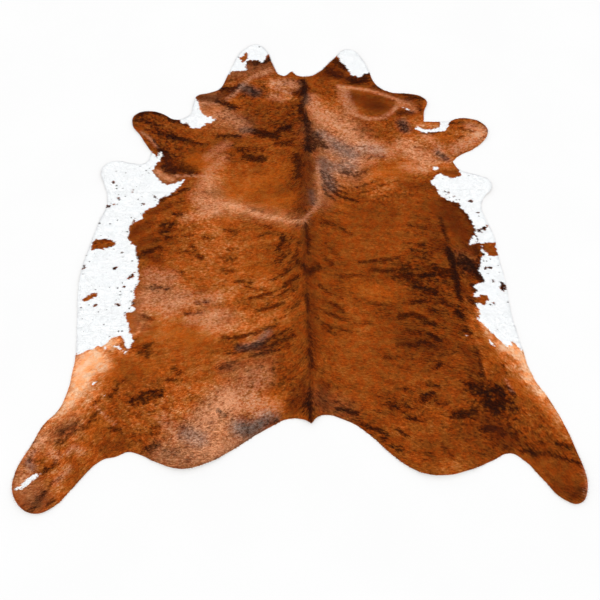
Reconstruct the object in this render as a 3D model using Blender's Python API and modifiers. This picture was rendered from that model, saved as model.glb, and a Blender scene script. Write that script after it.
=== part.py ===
"""A cowhide rug, hair side up, lying on the floor.

The rug is one whole hide: dressed skin with its hair on, cut round the animal's own outline, with
neck flaps, forelegs, belly edges, hind legs and rump. It lies flat and lifts a little along its
folds, in a few broad swells and at parts of its edge.

Metres, +Z up, +Y towards the neck, +X to the right with the neck up. The origin is on the floor,
under the middle of the hide's box.
"""

import math
from collections import namedtuple

import bmesh
import bpy
from mathutils import Vector
from mathutils.geometry import delaunay_2d_cdt

MM = 0.001

# Driving dimensions, in metres. The tables below give places in millimetres on a hide of this
# length, and they are scaled to it.
HIDE_LENGTH = 2.37  # neck flap tips to hind leg tips, along Y
HIDE_THICKNESS = 0.005  # skin with its flat-lying hair

# How finely the hide is built
EDGE_STEPS = 4  # stretches between two places on the outline
FIELD_PITCH = 0.062  # between points on the open field of the hide
FIELD_MARGIN = 0.024  # kept free of field points along the outline and beside the folds
FOLD_STEP = 0.036  # between points along a fold
FOLD_ROWS = (-1.0, -0.5, 0.0, 0.5, 1.0)  # rows of points beside a fold's crest, in reaches
EDGE_LIFT_DEPTH = 0.09  # how far in from the outline an edge lift dies out

HAIR_COLOUR = (0.30, 0.105, 0.022, 1.0)
HAIR_ROUGHNESS = 0.62

# The outline, clockwise seen from above, a table for each stretch of the edge. Columns: across and
# along in mm, and the bend, which says how the edge passes the place.
Edge = namedtuple("Edge", "across along bend")
ROUND = "AUTO"
CORNER = "VECTOR"

NECK_EDGE = (
    Edge(-365, 945, ROUND),
    Edge(-340, 1025, ROUND),
    Edge(-310, 1115, ROUND),
    Edge(-275, 1155, ROUND),
    Edge(-225, 1183, ROUND),
    Edge(-165, 1125, ROUND),
    Edge(-140, 1050, ROUND),
    Edge(-82, 957, ROUND),
    Edge(-40, 990, CORNER),
    Edge(-8, 957, ROUND),
    Edge(40, 950, ROUND),
    Edge(85, 972, ROUND),
    Edge(180, 1085, ROUND),
    Edge(250, 1145, ROUND),
    Edge(325, 1065, ROUND),
    Edge(350, 990, ROUND),
    Edge(375, 905, ROUND),
    Edge(425, 850, ROUND),
)
RIGHT_FORELEG_EDGE = (
    Edge(550, 827, ROUND),
    Edge(603, 803, ROUND),
    Edge(620, 772, ROUND),
    Edge(602, 710, ROUND),
    Edge(595, 645, CORNER),
    Edge(700, 645, ROUND),
    Edge(800, 666, ROUND),
    Edge(880, 617, ROUND),
    Edge(888, 565, ROUND),
    Edge(830, 485, ROUND),
    Edge(730, 422, ROUND),
    Edge(705, 393, CORNER),
    Edge(728, 345, ROUND),
    Edge(805, 312, ROUND),
)
RIGHT_BELLY_EDGE = (
    Edge(855, 280, ROUND),
    Edge(862, 240, ROUND),
    Edge(818, 182, ROUND),
    Edge(800, 125, ROUND),
    Edge(810, 70, ROUND),
    Edge(833, -20, ROUND),
    Edge(838, -135, ROUND),
    Edge(847, -240, ROUND),
    Edge(850, -410, ROUND),
    Edge(865, -540, ROUND),
    Edge(890, -685, ROUND),
)
RIGHT_HIND_LEG_EDGE = (
    Edge(930, -762, ROUND),
    Edge(970, -870, ROUND),
    Edge(998, -990, ROUND),
    Edge(1004, -1095, ROUND),
    Edge(965, -1152, ROUND),
    Edge(915, -1138, ROUND),
    Edge(850, -1060, ROUND),
    Edge(800, -1000, ROUND),
    Edge(752, -975, ROUND),
    Edge(690, -1000, ROUND),
)
RUMP_EDGE = (
    Edge(595, -1038, ROUND),
    Edge(500, -1056, ROUND),
    Edge(425, -1043, ROUND),
    Edge(360, -1003, ROUND),
    Edge(230, -885, ROUND),
    Edge(165, -848, ROUND),
    Edge(95, -830, ROUND),
    Edge(70, -838, ROUND),
    Edge(45, -866, CORNER),
    Edge(18, -849, ROUND),
    Edge(-35, -845, ROUND),
    Edge(-90, -868, ROUND),
    Edge(-165, -912, ROUND),
    Edge(-250, -970, ROUND),
    Edge(-330, -1012, ROUND),
)
LEFT_HIND_LEG_EDGE = (
    Edge(-420, -1033, ROUND),
    Edge(-520, -1003, ROUND),
    Edge(-575, -978, ROUND),
    Edge(-615, -970, ROUND),
    Edge(-655, -988, ROUND),
    Edge(-700, -998, ROUND),
    Edge(-780, -1085, ROUND),
    Edge(-850, -1167, ROUND),
    Edge(-910, -1186, ROUND),
    Edge(-980, -1140, ROUND),
    Edge(-1003, -1065, ROUND),
    Edge(-960, -932, ROUND),
    Edge(-932, -862, ROUND),
    Edge(-895, -818, ROUND),
    Edge(-873, -750, ROUND),
)
LEFT_BELLY_EDGE = (
    Edge(-865, -660, ROUND),
    Edge(-867, -560, ROUND),
    Edge(-885, -430, ROUND),
    Edge(-905, -235, ROUND),
    Edge(-893, -105, ROUND),
    Edge(-870, 45, ROUND),
    Edge(-850, 135, ROUND),
    Edge(-853, 185, ROUND),
    Edge(-882, 275, ROUND),
    Edge(-900, 325, ROUND),
    Edge(-883, 375, ROUND),
)
LEFT_FORELEG_EDGE = (
    Edge(-830, 395, ROUND),
    Edge(-770, 383, ROUND),
    Edge(-707, 385, ROUND),
    Edge(-686, 447, CORNER),
    Edge(-745, 545, ROUND),
    Edge(-797, 632, ROUND),
    Edge(-787, 685, ROUND),
    Edge(-725, 711, ROUND),
    Edge(-665, 697, ROUND),
    Edge(-588, 657, ROUND),
    Edge(-532, 683, ROUND),
    Edge(-514, 755, ROUND),
    Edge(-503, 808, ROUND),
    Edge(-440, 837, ROUND),
    Edge(-392, 868, ROUND),
)
OUTLINE = (
    NECK_EDGE
    + RIGHT_FORELEG_EDGE
    + RIGHT_BELLY_EDGE
    + RIGHT_HIND_LEG_EDGE
    + RUMP_EDGE
    + LEFT_HIND_LEG_EDGE
    + LEFT_BELLY_EDGE
    + LEFT_FORELEG_EDGE
)

# Folds, in mm: the line of the crest, the height at its first end, middle and last end, and the
# reach, from the crest to where the hide is flat again.
Fold = namedtuple("Fold", "name crest first middle last reach")
FOLDS = (
    Fold("spine, neck", ((30, 940), (30, 700), (28, 470), (18, 180)), 4, 5, 3, 42),
    Fold("spine, back", ((18, 180), (20, -150), (32, -430)), 3, 4, 7, 46),
    Fold("spine, tail", ((32, -430), (40, -645), (45, -850)), 7, 12, 9, 42),
    Fold("left shoulder", ((-520, 300), (-420, 175), (-265, 135), (-110, 80)), 0, 7, 4, 52),
    Fold("right shoulder", ((60, 60), (90, 155), (190, 230)), 3, 5, 0, 46),
    Fold("right flank", ((610, 45), (635, -190), (660, -430), (705, -600)), 0, 13, 0, 48),
    Fold("right thigh", ((760, -590), (800, -720), (830, -830)), 0, 8, 0, 40),
    Fold("right hock", ((770, -960), (880, -965), (930, -980), (985, -1015)), 0, 9, 6, 32),
    Fold("left thigh", ((-770, -700), (-700, -820)), 0, 7, 0, 38),
    Fold("right neck, upper", ((215, 880), (370, 840), (475, 770)), 0, 10, 0, 38),
    Fold("right neck, lower", ((195, 725), (335, 662), (440, 705)), 0, 7, 0, 40),
    Fold("left neck", ((-345, 830), (-260, 900), (-170, 965)), 0, 8, 0, 38),
    Fold("left foreleg hem", ((-752, 560), (-700, 505), (-665, 440)), 3, 8, 0, 30),
)

# Broad low swells, where the hide doesn't quite settle, in mm
Swell = namedtuple("Swell", "name across along height reach")
SWELLS = (
    Swell("right shoulder", 330, 480, 8, 190),
    Swell("left shoulder", -330, 520, 6, 170),
    Swell("left flank", -640, -200, 8, 210),
    Swell("left rump", -330, -760, 8, 210),
    Swell("right rump", 420, -830, 7, 180),
    Swell("left hind leg", -830, -1000, 6, 110),
)

# Places where the edge lifts off the floor, in mm; the lift dies out over the reach along the edge
Lift = namedtuple("Lift", "name across along height reach")
LIFTS = (
    Lift("left neck flap", -225, 1183, 7, 170),
    Lift("right neck flap", 250, 1145, 7, 170),
    Lift("right collar", 620, 775, 6, 130),
    Lift("right foreleg", 885, 590, 8, 150),
    Lift("right elbow", 862, 255, 6, 120),
    Lift("right hind leg", 1000, -1090, 8, 170),
    Lift("right buttock", 500, -1056, 10, 230),
    Lift("left buttock", -400, -1035, 10, 240),
    Lift("left hind leg", -960, -1165, 8, 180),
    Lift("left belly", -905, -235, 5, 240),
    Lift("left elbow", -900, 325, 7, 130),
    Lift("left foreleg", -795, 650, 8, 150),
    Lift("left collar", -505, 805, 6, 110),
)


def empty_scene():
    for thing in list(bpy.data.objects):
        bpy.data.objects.remove(thing, do_unlink=True)


def new_collection(name):
    collection = bpy.data.collections.new(name)
    bpy.context.scene.collection.children.link(collection)
    return collection


def outline_loop():
    """The outline in mm as a closed loop of points, read from a smooth curve through the tables' places."""
    curve = bpy.data.curves.new("hide_outline", "CURVE")
    curve.dimensions = "2D"
    curve.fill_mode = "NONE"
    curve.resolution_u = EDGE_STEPS
    spline = curve.splines.new("BEZIER")
    spline.bezier_points.add(len(OUTLINE) - 1)
    for point, edge in zip(spline.bezier_points, OUTLINE):
        point.co = (edge.across, edge.along, 0.0)
        point.handle_left_type = edge.bend
        point.handle_right_type = edge.bend
    spline.use_cyclic_u = True
    guide = bpy.data.objects.new("hide_outline", curve)
    bpy.context.scene.collection.objects.link(guide)
    bpy.context.view_layer.update()
    graph = bpy.context.evaluated_depsgraph_get()
    mesh = bpy.data.meshes.new_from_object(guide.evaluated_get(graph))
    loop = [vertex.co.to_2d() for vertex in mesh.vertices]
    bpy.data.objects.remove(guide)
    bpy.data.curves.remove(curve)
    bpy.data.meshes.remove(mesh)
    return loop


class Layout:
    """Turns a place in the tables' millimetres into metres about the middle of the hide's box."""

    def __init__(self, loop):
        across = [point.x for point in loop]
        along = [point.y for point in loop]
        self.middle = Vector((max(across) + min(across), max(along) + min(along))) / 2
        self.scale = HIDE_LENGTH / (max(along) - min(along))

    def place(self, across, along):
        return (Vector((across, along)) - self.middle) * self.scale


def nearest_on_line(point, line):
    """How far a place is from a broken line, and the share of the line's length passed there."""
    lengths = [(b - a).length for a, b in zip(line, line[1:])]
    passed = 0.0
    nearest = (math.inf, 0.0)
    for a, b, length in zip(line, line[1:], lengths):
        way = (b - a) / length
        step = min(max((point - a).dot(way), 0.0), length)
        distance = (point - a - way * step).length
        nearest = min(nearest, (distance, (passed + step) / sum(lengths)))
        passed += length
    return nearest


def hump(share):
    """A soft hump: 1 and level at share 0, and 0 from share 1 on."""
    return 0.5 + 0.5 * math.cos(math.pi * min(abs(share), 1.0))


def smooth_line(places):
    """Points about a step apart along a smooth line through a fold's places."""
    padded = [places[0] * 2 - places[1]] + places + [places[-1] * 2 - places[-2]]
    line = []
    for p0, p1, p2, p3 in zip(padded, padded[1:], padded[2:], padded[3:]):
        count = max(1, round((p2 - p1).length / FOLD_STEP))
        for i in range(count):
            t = i / count
            even = p1 * 2 + (p2 - p0) * t + (p0 * 2 - p1 * 5 + p2 * 4 - p3) * t**2
            line.append((even + (p1 * 3 - p0 - p2 * 3 + p3) * t**3) / 2)
    return line + [places[-1]]


class Relief:
    """How far the hide's underside stands off the floor at a place."""

    def __init__(self, layout, edge):
        self.edge = edge + edge[:1]
        self.folds = []
        for fold in FOLDS:
            places = [layout.place(*place) for place in fold.crest]
            self.folds.append((fold, smooth_line(places)))
        self.swells = [(swell, layout.place(swell.across, swell.along)) for swell in SWELLS]
        self.lifts = [(lift, layout.place(lift.across, lift.along)) for lift in LIFTS]

    def height(self, point):
        return self.fold_height(point) + self.swell_height(point) + self.lift_height(point)

    def fold_height(self, point):
        """Folds don't add up where they meet: the highest one counts."""
        highest = 0.0
        for fold, line in self.folds:
            distance, share = nearest_on_line(point, line)
            if distance < fold.reach * MM:
                ends = fold.first + (fold.last - fold.first) * share
                bow = fold.middle - (fold.first + fold.last) / 2
                crest = ends + bow * hump(2 * share - 1)
                highest = max(highest, crest * MM * hump(distance / (fold.reach * MM)))
        return highest

    def swell_height(self, point):
        total = 0.0
        for swell, centre in self.swells:
            total += swell.height * MM * hump((point - centre).length / (swell.reach * MM))
        return total

    def lift_height(self, point):
        near = [(lift, (point - centre).length / (lift.reach * MM)) for lift, centre in self.lifts]
        near = [(lift, share) for lift, share in near if share < 1.0]
        if not near:
            return 0.0
        inwards = nearest_on_line(point, self.edge)[0] / EDGE_LIFT_DEPTH
        return sum(lift.height * MM * hump(share) for lift, share in near) * hump(inwards)


def inside(point, edge):
    """Whether a place is inside the closed edge."""
    crossings = 0
    for a, b in zip(edge, edge[1:] + edge[:1]):
        if (a.y > point.y) != (b.y > point.y):
            crossings += point.x < a.x + (point.y - a.y) * (b.x - a.x) / (b.y - a.y)
    return crossings % 2 == 1


def fold_points(relief, edge):
    """Rows of points along each fold's crest and flanks, clear of the edge and of other rows."""
    points = []
    for fold, line in relief.folds:
        for row in FOLD_ROWS:
            for a, b in zip(line, line[1:]):
                way = (b - a).normalized()
                point = (a + b) / 2 + Vector((-way.y, way.x)) * row * fold.reach * MM
                clear = all((point - other).length > FIELD_MARGIN / 2 for other in points)
                if clear and inside(point, edge):
                    if nearest_on_line(point, relief.edge)[0] > FIELD_MARGIN / 2:
                        points.append(point)
    return points


def field_points(relief, edge, taken):
    """An even field of points in a triangular pattern, clear of the edge and of the folds' rows."""
    points = []
    row_pitch = FIELD_PITCH * math.sqrt(3) / 2
    rows = math.ceil(HIDE_LENGTH / 2 / row_pitch)
    for row in range(-rows, rows + 1):
        shift = FIELD_PITCH / 2 * (row % 2)
        for column in range(-rows, rows + 1):
            point = Vector((column * FIELD_PITCH + shift, row * row_pitch))
            if not inside(point, edge):
                continue
            if nearest_on_line(point, relief.edge)[0] < FIELD_MARGIN:
                continue
            if all((point - other).length > FIELD_MARGIN for other in taken):
                points.append(point)
    return points


def underside(relief, edge):
    """The hide's underside as an open sheet that follows the relief, facing up."""
    folds = fold_points(relief, edge)
    points = edge + folds + field_points(relief, edge, folds)
    border = [list(range(len(edge)))]
    flat, _, triangles, _, _, _ = delaunay_2d_cdt(points, [], border, 1, 1e-6)
    shape = bmesh.new()
    corners = [shape.verts.new((*point, relief.height(point))) for point in flat]
    for triangle in triangles:
        shape.faces.new([corners[index] for index in triangle])
    bmesh.ops.recalc_face_normals(shape, faces=shape.faces)
    if sum(face.normal.z for face in shape.faces) < 0:
        bmesh.ops.reverse_faces(shape, faces=shape.faces)
    mesh = bpy.data.meshes.new("hide")
    shape.to_mesh(mesh)
    shape.free()
    return mesh


def coat_material():
    material = bpy.data.materials.new("brown_hair_on_hide")
    material.use_nodes = True
    surface = material.node_tree.nodes["Principled BSDF"]
    surface.inputs["Base Color"].default_value = HAIR_COLOUR
    surface.inputs["Roughness"].default_value = HAIR_ROUGHNESS
    surface.inputs["Metallic"].default_value = 0.0
    return material


def make_hide(collection):
    """The whole hide: its underside, thickened upwards to skin and hair."""
    loop = outline_loop()
    layout = Layout(loop)
    edge = [layout.place(*point) for point in loop]
    relief = Relief(layout, edge)
    hide = bpy.data.objects.new("hide", underside(relief, edge))
    collection.objects.link(hide)
    hide.data.materials.append(coat_material())
    thicken = hide.modifiers.new("skin and hair", "SOLIDIFY")
    thicken.thickness = HIDE_THICKNESS
    thicken.offset = 1.0
    hide.data.shade_smooth()
    hide.data.set_sharp_from_angle(angle=math.radians(40))
    return hide


def main():
    empty_scene()
    make_hide(new_collection("cowhide_rug"))


main()
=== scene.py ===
"""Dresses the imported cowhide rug: tanned skin, a brindle coat with white belly edges, a studio.

The rug is one hide lying hair side up on a plain floor. The skin is a thin sheet on the folds of
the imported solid, with its own creases. The coat is short flat-lying locks of hair, combed away
from the spine as on the animal, and every lock takes its colour from about where it is rooted.

Metres, +Z up, +Y towards the neck, +X to the right with the neck up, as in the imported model.
"""

import math
from collections import namedtuple
from functools import cache

import bmesh
import bpy
import numpy as np
from bpy.props import FloatProperty, FloatVectorProperty, IntProperty, PointerProperty
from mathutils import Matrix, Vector, noise
from mathutils.bvhtree import BVHTree
from mathutils.geometry import delaunay_2d_cdt
from mathutils.kdtree import KDTree


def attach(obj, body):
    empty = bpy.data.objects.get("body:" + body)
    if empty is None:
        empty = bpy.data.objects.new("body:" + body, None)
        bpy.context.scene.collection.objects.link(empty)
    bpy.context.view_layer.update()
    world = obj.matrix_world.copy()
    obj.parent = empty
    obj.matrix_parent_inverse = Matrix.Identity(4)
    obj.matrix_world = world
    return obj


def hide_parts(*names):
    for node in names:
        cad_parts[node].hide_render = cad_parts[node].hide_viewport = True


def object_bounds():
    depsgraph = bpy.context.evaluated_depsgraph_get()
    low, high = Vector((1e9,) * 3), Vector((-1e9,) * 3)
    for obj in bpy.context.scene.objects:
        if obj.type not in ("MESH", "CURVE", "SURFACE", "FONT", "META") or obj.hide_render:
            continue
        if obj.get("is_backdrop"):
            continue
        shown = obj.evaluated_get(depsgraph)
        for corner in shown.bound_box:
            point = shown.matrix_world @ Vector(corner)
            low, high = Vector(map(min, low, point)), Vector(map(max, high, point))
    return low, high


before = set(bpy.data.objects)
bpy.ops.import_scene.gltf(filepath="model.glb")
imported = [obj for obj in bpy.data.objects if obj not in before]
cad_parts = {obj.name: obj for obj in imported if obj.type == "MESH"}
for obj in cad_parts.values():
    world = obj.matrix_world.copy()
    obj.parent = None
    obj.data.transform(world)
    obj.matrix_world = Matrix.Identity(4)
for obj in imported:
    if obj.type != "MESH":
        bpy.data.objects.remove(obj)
CAD_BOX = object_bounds()

bl_info = {
    "name": "Cowhide Rug",
    "version": (1, 0, 0),
    "blender": (4, 5, 0),
    "location": "View3D > Sidebar > Rug",
    "description": "Makes a brindle cowhide rug with its skin, its coat of hair locks and a studio",
    "category": "Object",
}

MM = 0.001
HIDE_NODE = "hide"
BODY = "root"
FAR = 1000.0  # mm, further than any field of the coat reaches
TINY = 1e-12  # keeps a division by a length from failing
DOWN = (0.0, -1.0)  # towards the tail
WHOLE = (1.0, 1.0, 1.0)  # a tint that leaves a colour as it is
BAKE_MAP = "OFBake"
SEED = 11

# -------- The hide's own tables. Places are in millimetres on the floor, across and along, unless a
# comment says that they are in pixels of the photograph.

# The line of the spine, which parts the coat
SPINE = (
    (30, 1200), (30, 700), (28, 470), (18, 180), (20, -150), (32, -430), (40, -645), (45, -900),
)

# Small creases and puckers in the skin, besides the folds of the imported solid: height in mm, less
# than zero for a trough, the reach to each side, and the path
CREASES = (
    # wrinkles across the spine, and the groove beside it
    (1.6, 16, (-20, 905), (30, 890), (90, 900)), (1.4, 15, (-40, 640), (25, 625), (80, 640)),
    (2.0, 18, (-50, 470), (20, 455), (75, 470)), (-1.5, 20, (62, 900), (60, 700), (55, 500)),
    (2.2, 16, (-15, -585), (35, -600), (90, -585)), (2.4, 16, (-10, -665), (38, -680), (85, -668)),
    (2.4, 15, (-5, -735), (42, -750), (90, -735)), (2.0, 15, (5, -800), (45, -812), (85, -800)),
    # left shoulder, above and below its fold
    (2.2, 26, (-470, 330), (-370, 250), (-250, 205)),
    (-1.8, 30, (-500, 235), (-400, 115), (-250, 80)),
    # neck flaps, left and right, each at its root and its tip
    (2.4, 22, (-330, 960), (-255, 985), (-170, 1040)),
    (1.8, 20, (-300, 1060), (-240, 1085), (-190, 1110)),
    (2.4, 22, (190, 985), (265, 960), (340, 930)), (1.8, 20, (205, 1075), (260, 1065), (315, 1040)),
    # right collar and its hollow
    (2.2, 24, (400, 820), (480, 790), (560, 765)), (-1.6, 26, (380, 760), (470, 735), (550, 720)),
    # forelegs
    (2.2, 22, (640, 640), (670, 560), (690, 470)), (1.8, 20, (760, 650), (790, 570), (780, 490)),
    (2.0, 22, (-590, 640), (-600, 560), (-620, 480)),
    (1.8, 20, (-700, 690), (-690, 620), (-650, 560)),
    # belly puckers
    (2.0, 24, (840, 120), (770, 90), (700, 100)), (1.8, 24, (850, -130), (780, -150), (710, -140)),
    (2.2, 28, (-890, 90), (-800, 60), (-700, 70)),
    (1.8, 26, (-900, -170), (-810, -190), (-720, -180)),
    (2.0, 28, (-890, -420), (-800, -450), (-700, -440)),
    # flanks
    (1.8, 30, (-650, -60), (-560, -140), (-500, -260)),
    (-2.0, 30, (560, 20), (580, -200), (605, -430)),
    # right thigh, and the hocks
    (2.0, 24, (700, -480), (760, -560), (840, -610)),
    (1.8, 22, (800, -1010), (870, -1030), (930, -1080)),
    (2.0, 24, (-700, -960), (-780, -980), (-880, -960)),
    (1.8, 22, (-780, -1060), (-860, -1075), (-940, -1050)),
    # rump
    (1.6, 34, (-420, -880), (-330, -840), (-220, -850)),
    (1.6, 34, (320, -900), (430, -880), (540, -930)),
)

# The lie of the hair. It leaves the spine slanting towards the tail and levels out on the way to
# the belly: how far it drops in all, in mm, from the tail to the neck, and over what reach.
Slant = namedtuple("Slant", "drops reach")
SLANT_PLACES = (-900, -200, 300, 700, 1100)
LEFT_SLANT = Slant((160, 170, 150, 40, 10), 135)
RIGHT_SLANT = Slant((130, 125, 125, 100, 40), 115)

# Where the lie turns, as on the legs: a slope, more than zero falling to the right, and a reach
Turn = namedtuple("Turn", "name across along slope reach")
TURNS = (
    Turn("left foreleg", -640, 600, 0.45, 190),
    Turn("right foreleg", 700, 560, -0.35, 190),
    Turn("right shoulder", 300, 330, -0.25, 170),
    Turn("left hind leg", -800, -950, -1.1, 280),
    Turn("right hind leg", 880, -950, 1.3, 240),
    Turn("right thigh", 800, -650, 1.0, 190),
    Turn("left rump", -350, -750, -0.5, 210),
    Turn("right rump", 400, -800, 0.5, 210),
    Turn("right flank", 690, -100, 0.7, 140),
)

# The marks of the coat were placed on the photograph, and are written in its pixels, across and down
# from its upper left corner. They are taken down onto the floor further below.

# White parts of the coat: the share of brown specks in each, and then the ring round it, which
# runs past the cut edge of the hide where the white does
WHITE_PATCHES = (
    # left belly
    (1.0, (150, 152), (157, 157), (160, 152), (163, 155), (160, 161), (155, 167), (152, 172),
     (157, 178), (161, 182), (169, 185), (177, 183), (183, 180), (184, 182), (178, 188), (170, 195),
     (161, 198), (157, 205), (148, 210), (143, 213), (142, 219), (134, 223), (129, 229), (128, 237),
     (131, 243), (136, 248), (137, 257), (139, 262), (138, 270), (139, 277), (138, 286), (134, 292),
     (134, 300), (132, 306), (136, 311), (126, 314), (127, 321), (130, 331), (133, 341), (128, 349),
     (124, 345), (122, 338), (117, 337), (112, 338), (107, 344), (99, 347), (91, 350), (78, 354),
     (55, 358), (55, 250), (80, 150), (120, 140)),
    # right belly
    (0.8, (456.5, 165), (458, 169), (460, 173), (459.5, 176.5), (455.5, 178.5), (450, 178.5),
     (446, 176.5), (443, 174.5), (439.5, 174.5), (434, 178), (431, 182), (433, 186), (437, 190),
     (439, 195), (446, 199), (452, 202), (458, 203), (461, 209), (466, 213), (469, 219), (474, 226),
     (475, 232), (472, 240), (468, 246), (474, 244), (480, 243), (481, 250), (482, 258), (479, 268),
     (481, 276), (485, 280), (482, 283), (474, 286), (478, 291), (473, 297), (481, 296), (489, 298),
     (484, 305), (480, 303), (476, 306), (480, 312), (478, 318), (482, 324), (489, 331), (497, 338),
     (504, 345), (511, 346), (511, 343), (516, 344), (523, 350), (545, 340), (530, 250), (520, 165),
     (480, 153), (466, 158), (458, 163)),
    # left neck
    (0.1, (228, 74), (233, 71.5), (245, 71), (246, 64), (250, 61), (258, 61), (262, 63), (265, 60),
     (268, 54), (275, 40), (245, 35), (222, 60)),
    # right neck
    (0.1, (337, 56), (341, 62), (346, 67), (349, 71), (351, 75), (356, 77), (361, 78), (365, 74),
     (370, 72), (380, 55), (350, 40), (335, 50)),
    # left collar
    (0.1, (196, 100), (199, 106), (200, 111), (205, 116), (211, 118), (216, 120), (210, 123),
     (205, 125), (201, 128), (195, 129), (190, 127), (187, 124), (180, 122), (172, 110), (188, 95)),
    # right collar
    (0.1, (415, 127), (416, 130), (420, 132.5), (428, 133), (439, 132.5), (445, 131), (448, 127),
     (450, 122), (457, 114), (438, 112), (440, 124), (439, 127.5), (433, 129.5), (424, 129.5)),
    # left hind foot
    (0.1, (15, 490.5), (18, 488), (26, 481.5), (34, 475.5), (38, 473), (39, 475), (31, 482),
     (25, 488), (19, 490.8), (16, 492)),
)

# Brown spots in the white, and white flecks in the brown: the middle, the two sizes and the turn
# of the longer one in degrees, anticlockwise, and for a brown spot how dark it is
BROWN_SPOTS = (
    (115, 269.5, 4.6, 3.2, 0, 1), (84.5, 267.5, 4.5, 2.6, 45, 0.9), (118, 306, 4.2, 2.8, -35, 1),
    (109, 206.5, 7, 2, 25, 0.9), (119, 200, 3.4, 2.8, 0, 0.9), (113, 183.5, 3, 2.6, 0, 0.8),
    (155, 197.5, 2.8, 3.4, 0, 0.9), (134, 191.5, 2.4, 2.4, 0, 0.7), (132, 277, 5, 2, 45, 0.9),
    (95, 305.5, 1.6, 2.4, -20, 1), (135, 221.5, 2.6, 2.2, 0, 0.8), (121.5, 254, 2, 2.6, -30, 1),
    (124, 288, 2, 1.8, 40, 1), (143, 204.5, 3, 2.2, 0, 0.6), (484, 228.5, 6.5, 3, 40, 1),
    (479.5, 231.5, 4.5, 3.4, 20, 1), (447, 192.5, 4.4, 2.6, -20, 1), (477, 239.5, 2.6, 4, 0, 1),
    (477, 213, 3.4, 2.8, 0, 0.9), (470.5, 201.8, 3.6, 2.4, 0, 0.8), (485.3, 268.5, 1.7, 1.9, 0, 1),
    (490.3, 268.3, 2.6, 2, 20, 1), (492, 282, 2.6, 3.4, 0, 0.9), (483.5, 254.5, 2.6, 3, 0, 0.9),
    (493.5, 304.5, 2.4, 2.2, 0, 0.7), (453.5, 197.5, 2.2, 2.2, 0, 0.7), (133, 304, 4, 3, 0, 0.6),
)
WHITE_FLECKS = (
    (407, 109.5, 4, 2, -35),  # right collar fleck
    (435.3, 169.5, 5, 3.6, -10),  # right elbow fleck
    (93.5, 384.5, 3.6, 1.6, 40),  # left thigh fleck
    (105.5, 397, 1.8, 1.8, 0),  # left thigh point
    (119, 348.6, 7, 2.2, -30),  # left thigh gap
    (105.5, 347.8, 2, 3.2, 0),  # left thigh nick
    (127.5, 349, 1.4, 4.4, -20),  # left thigh notch
    (467.3, 335.6, 2.2, 1.4, -20),  # right flank fleck
    (490.5, 342.5, 5.5, 1.5, -62),  # right thigh slash
)

# Brown islands in the white that aren't oval: how dark each is, and then the ring round it
BROWN_ISLANDS = (
    # left belly, large
    (0.25, (92, 243), (95, 240.5), (101, 239.5), (108, 239.5), (114, 241.5), (115, 244.5),
     (112, 247.5), (106, 249), (99, 249.5), (93, 250.5), (91, 249.5)),
    # left belly, long
    (0, (82, 301), (84, 298), (90, 295.5), (96, 293.5), (98, 295), (95, 298), (89, 300.5),
     (84, 302)),
    # right belly, square
    (0, (483, 244.5), (488, 243), (495.5, 243.5), (496.5, 249), (497, 255.5), (491, 255.8),
     (487.5, 254.8), (484.4, 251.5), (482.8, 248)),
    # right belly, dark
    (0.9, (500, 282.5), (503.5, 283), (505.5, 287), (505, 290.5), (502.5, 292), (500.8, 289),
     (500.5, 285)),
    # left neck flap
    (0, (240, 57.5), (244, 56.5), (246, 53.5), (248, 57), (247.5, 60), (243, 62.5), (240.5, 60.5)),
)

# Tones laid over the brown coat. Each stroke says how strong the tone is, how far it reaches from
# its path, and then its path. They are grouped by the part of the animal. The first six tones are
# broad washes and the partings with painted crease shadows, and the rest are narrower strokes. Some
# tones carry painted light, shade or sheen besides the hair's own colour, as said at each.
SMOOTH_HAIR = (
    # panels where the hair lies close
    (1, 18, (352, 96), (368, 103), (386, 110)), (0.9, 20, (194, 160), (206, 165)),
    (0.7, 34, (240, 185), (280, 195)), (0.8, 24, (135, 235), (145, 240)),
    (0.9, 20, (128, 312), (133, 330)), (0.8, 30, (160, 332), (200, 340)),
    (0.9, 26, (446, 212), (462, 232)), (0.6, 24, (440, 205), (400, 215)),
    (0.8, 30, (545, 465), (575, 485)), (0.6, 30, (360, 215), (385, 215)),
    (0.6, 20, (380, 176), (400, 171)), (0.8, 26, (80, 370), (70, 395)),
    (0.75, 26, (96, 362), (118, 368), (136, 372)), (0.4, 40, (320, 240), (325, 320)),
    (0.4, 60, (360, 240), (390, 300), (380, 350)), (0.5, 30, (440, 450), (470, 440)),
)
ROUGH_HAIR = (
    # neck and forelegs
    (1, 40, (225, 115), (240, 85)), (0.9, 34, (270, 80), (285, 95)),
    (1, 50, (330, 110), (350, 150)), (0.9, 50, (385, 125), (430, 150)),
    (0.6, 30, (465, 135), (475, 140)), (0.9, 36, (350, 175), (400, 205)),
    (0.9, 34, (150, 125), (175, 150)), (0.5, 36, (215, 165), (205, 195)),
    # flanks
    (0.6, 40, (155, 275), (165, 310)), (0.5, 50, (190, 270), (240, 310)),
    (0.9, 34, (150, 235), (190, 225)), (0.6, 30, (205, 250), (225, 250)),
    (0.5, 30, (404, 275), (435, 290)), (0.9, 24, (458, 262), (474, 268)),
    # rump and hind legs
    (1, 70, (190, 430), (240, 410)), (1, 60, (150, 400), (150, 430)),
    (0.8, 50, (40, 470), (70, 440), (110, 405)), (0.7, 40, (260, 375), (285, 390)),
    (0.6, 50, (420, 400), (460, 430)), (0.9, 40, (485, 395), (500, 405)),
    (0.5, 40, (520, 420), (570, 450)), (0.4, 40, (510, 365), (530, 390)),
)
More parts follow.
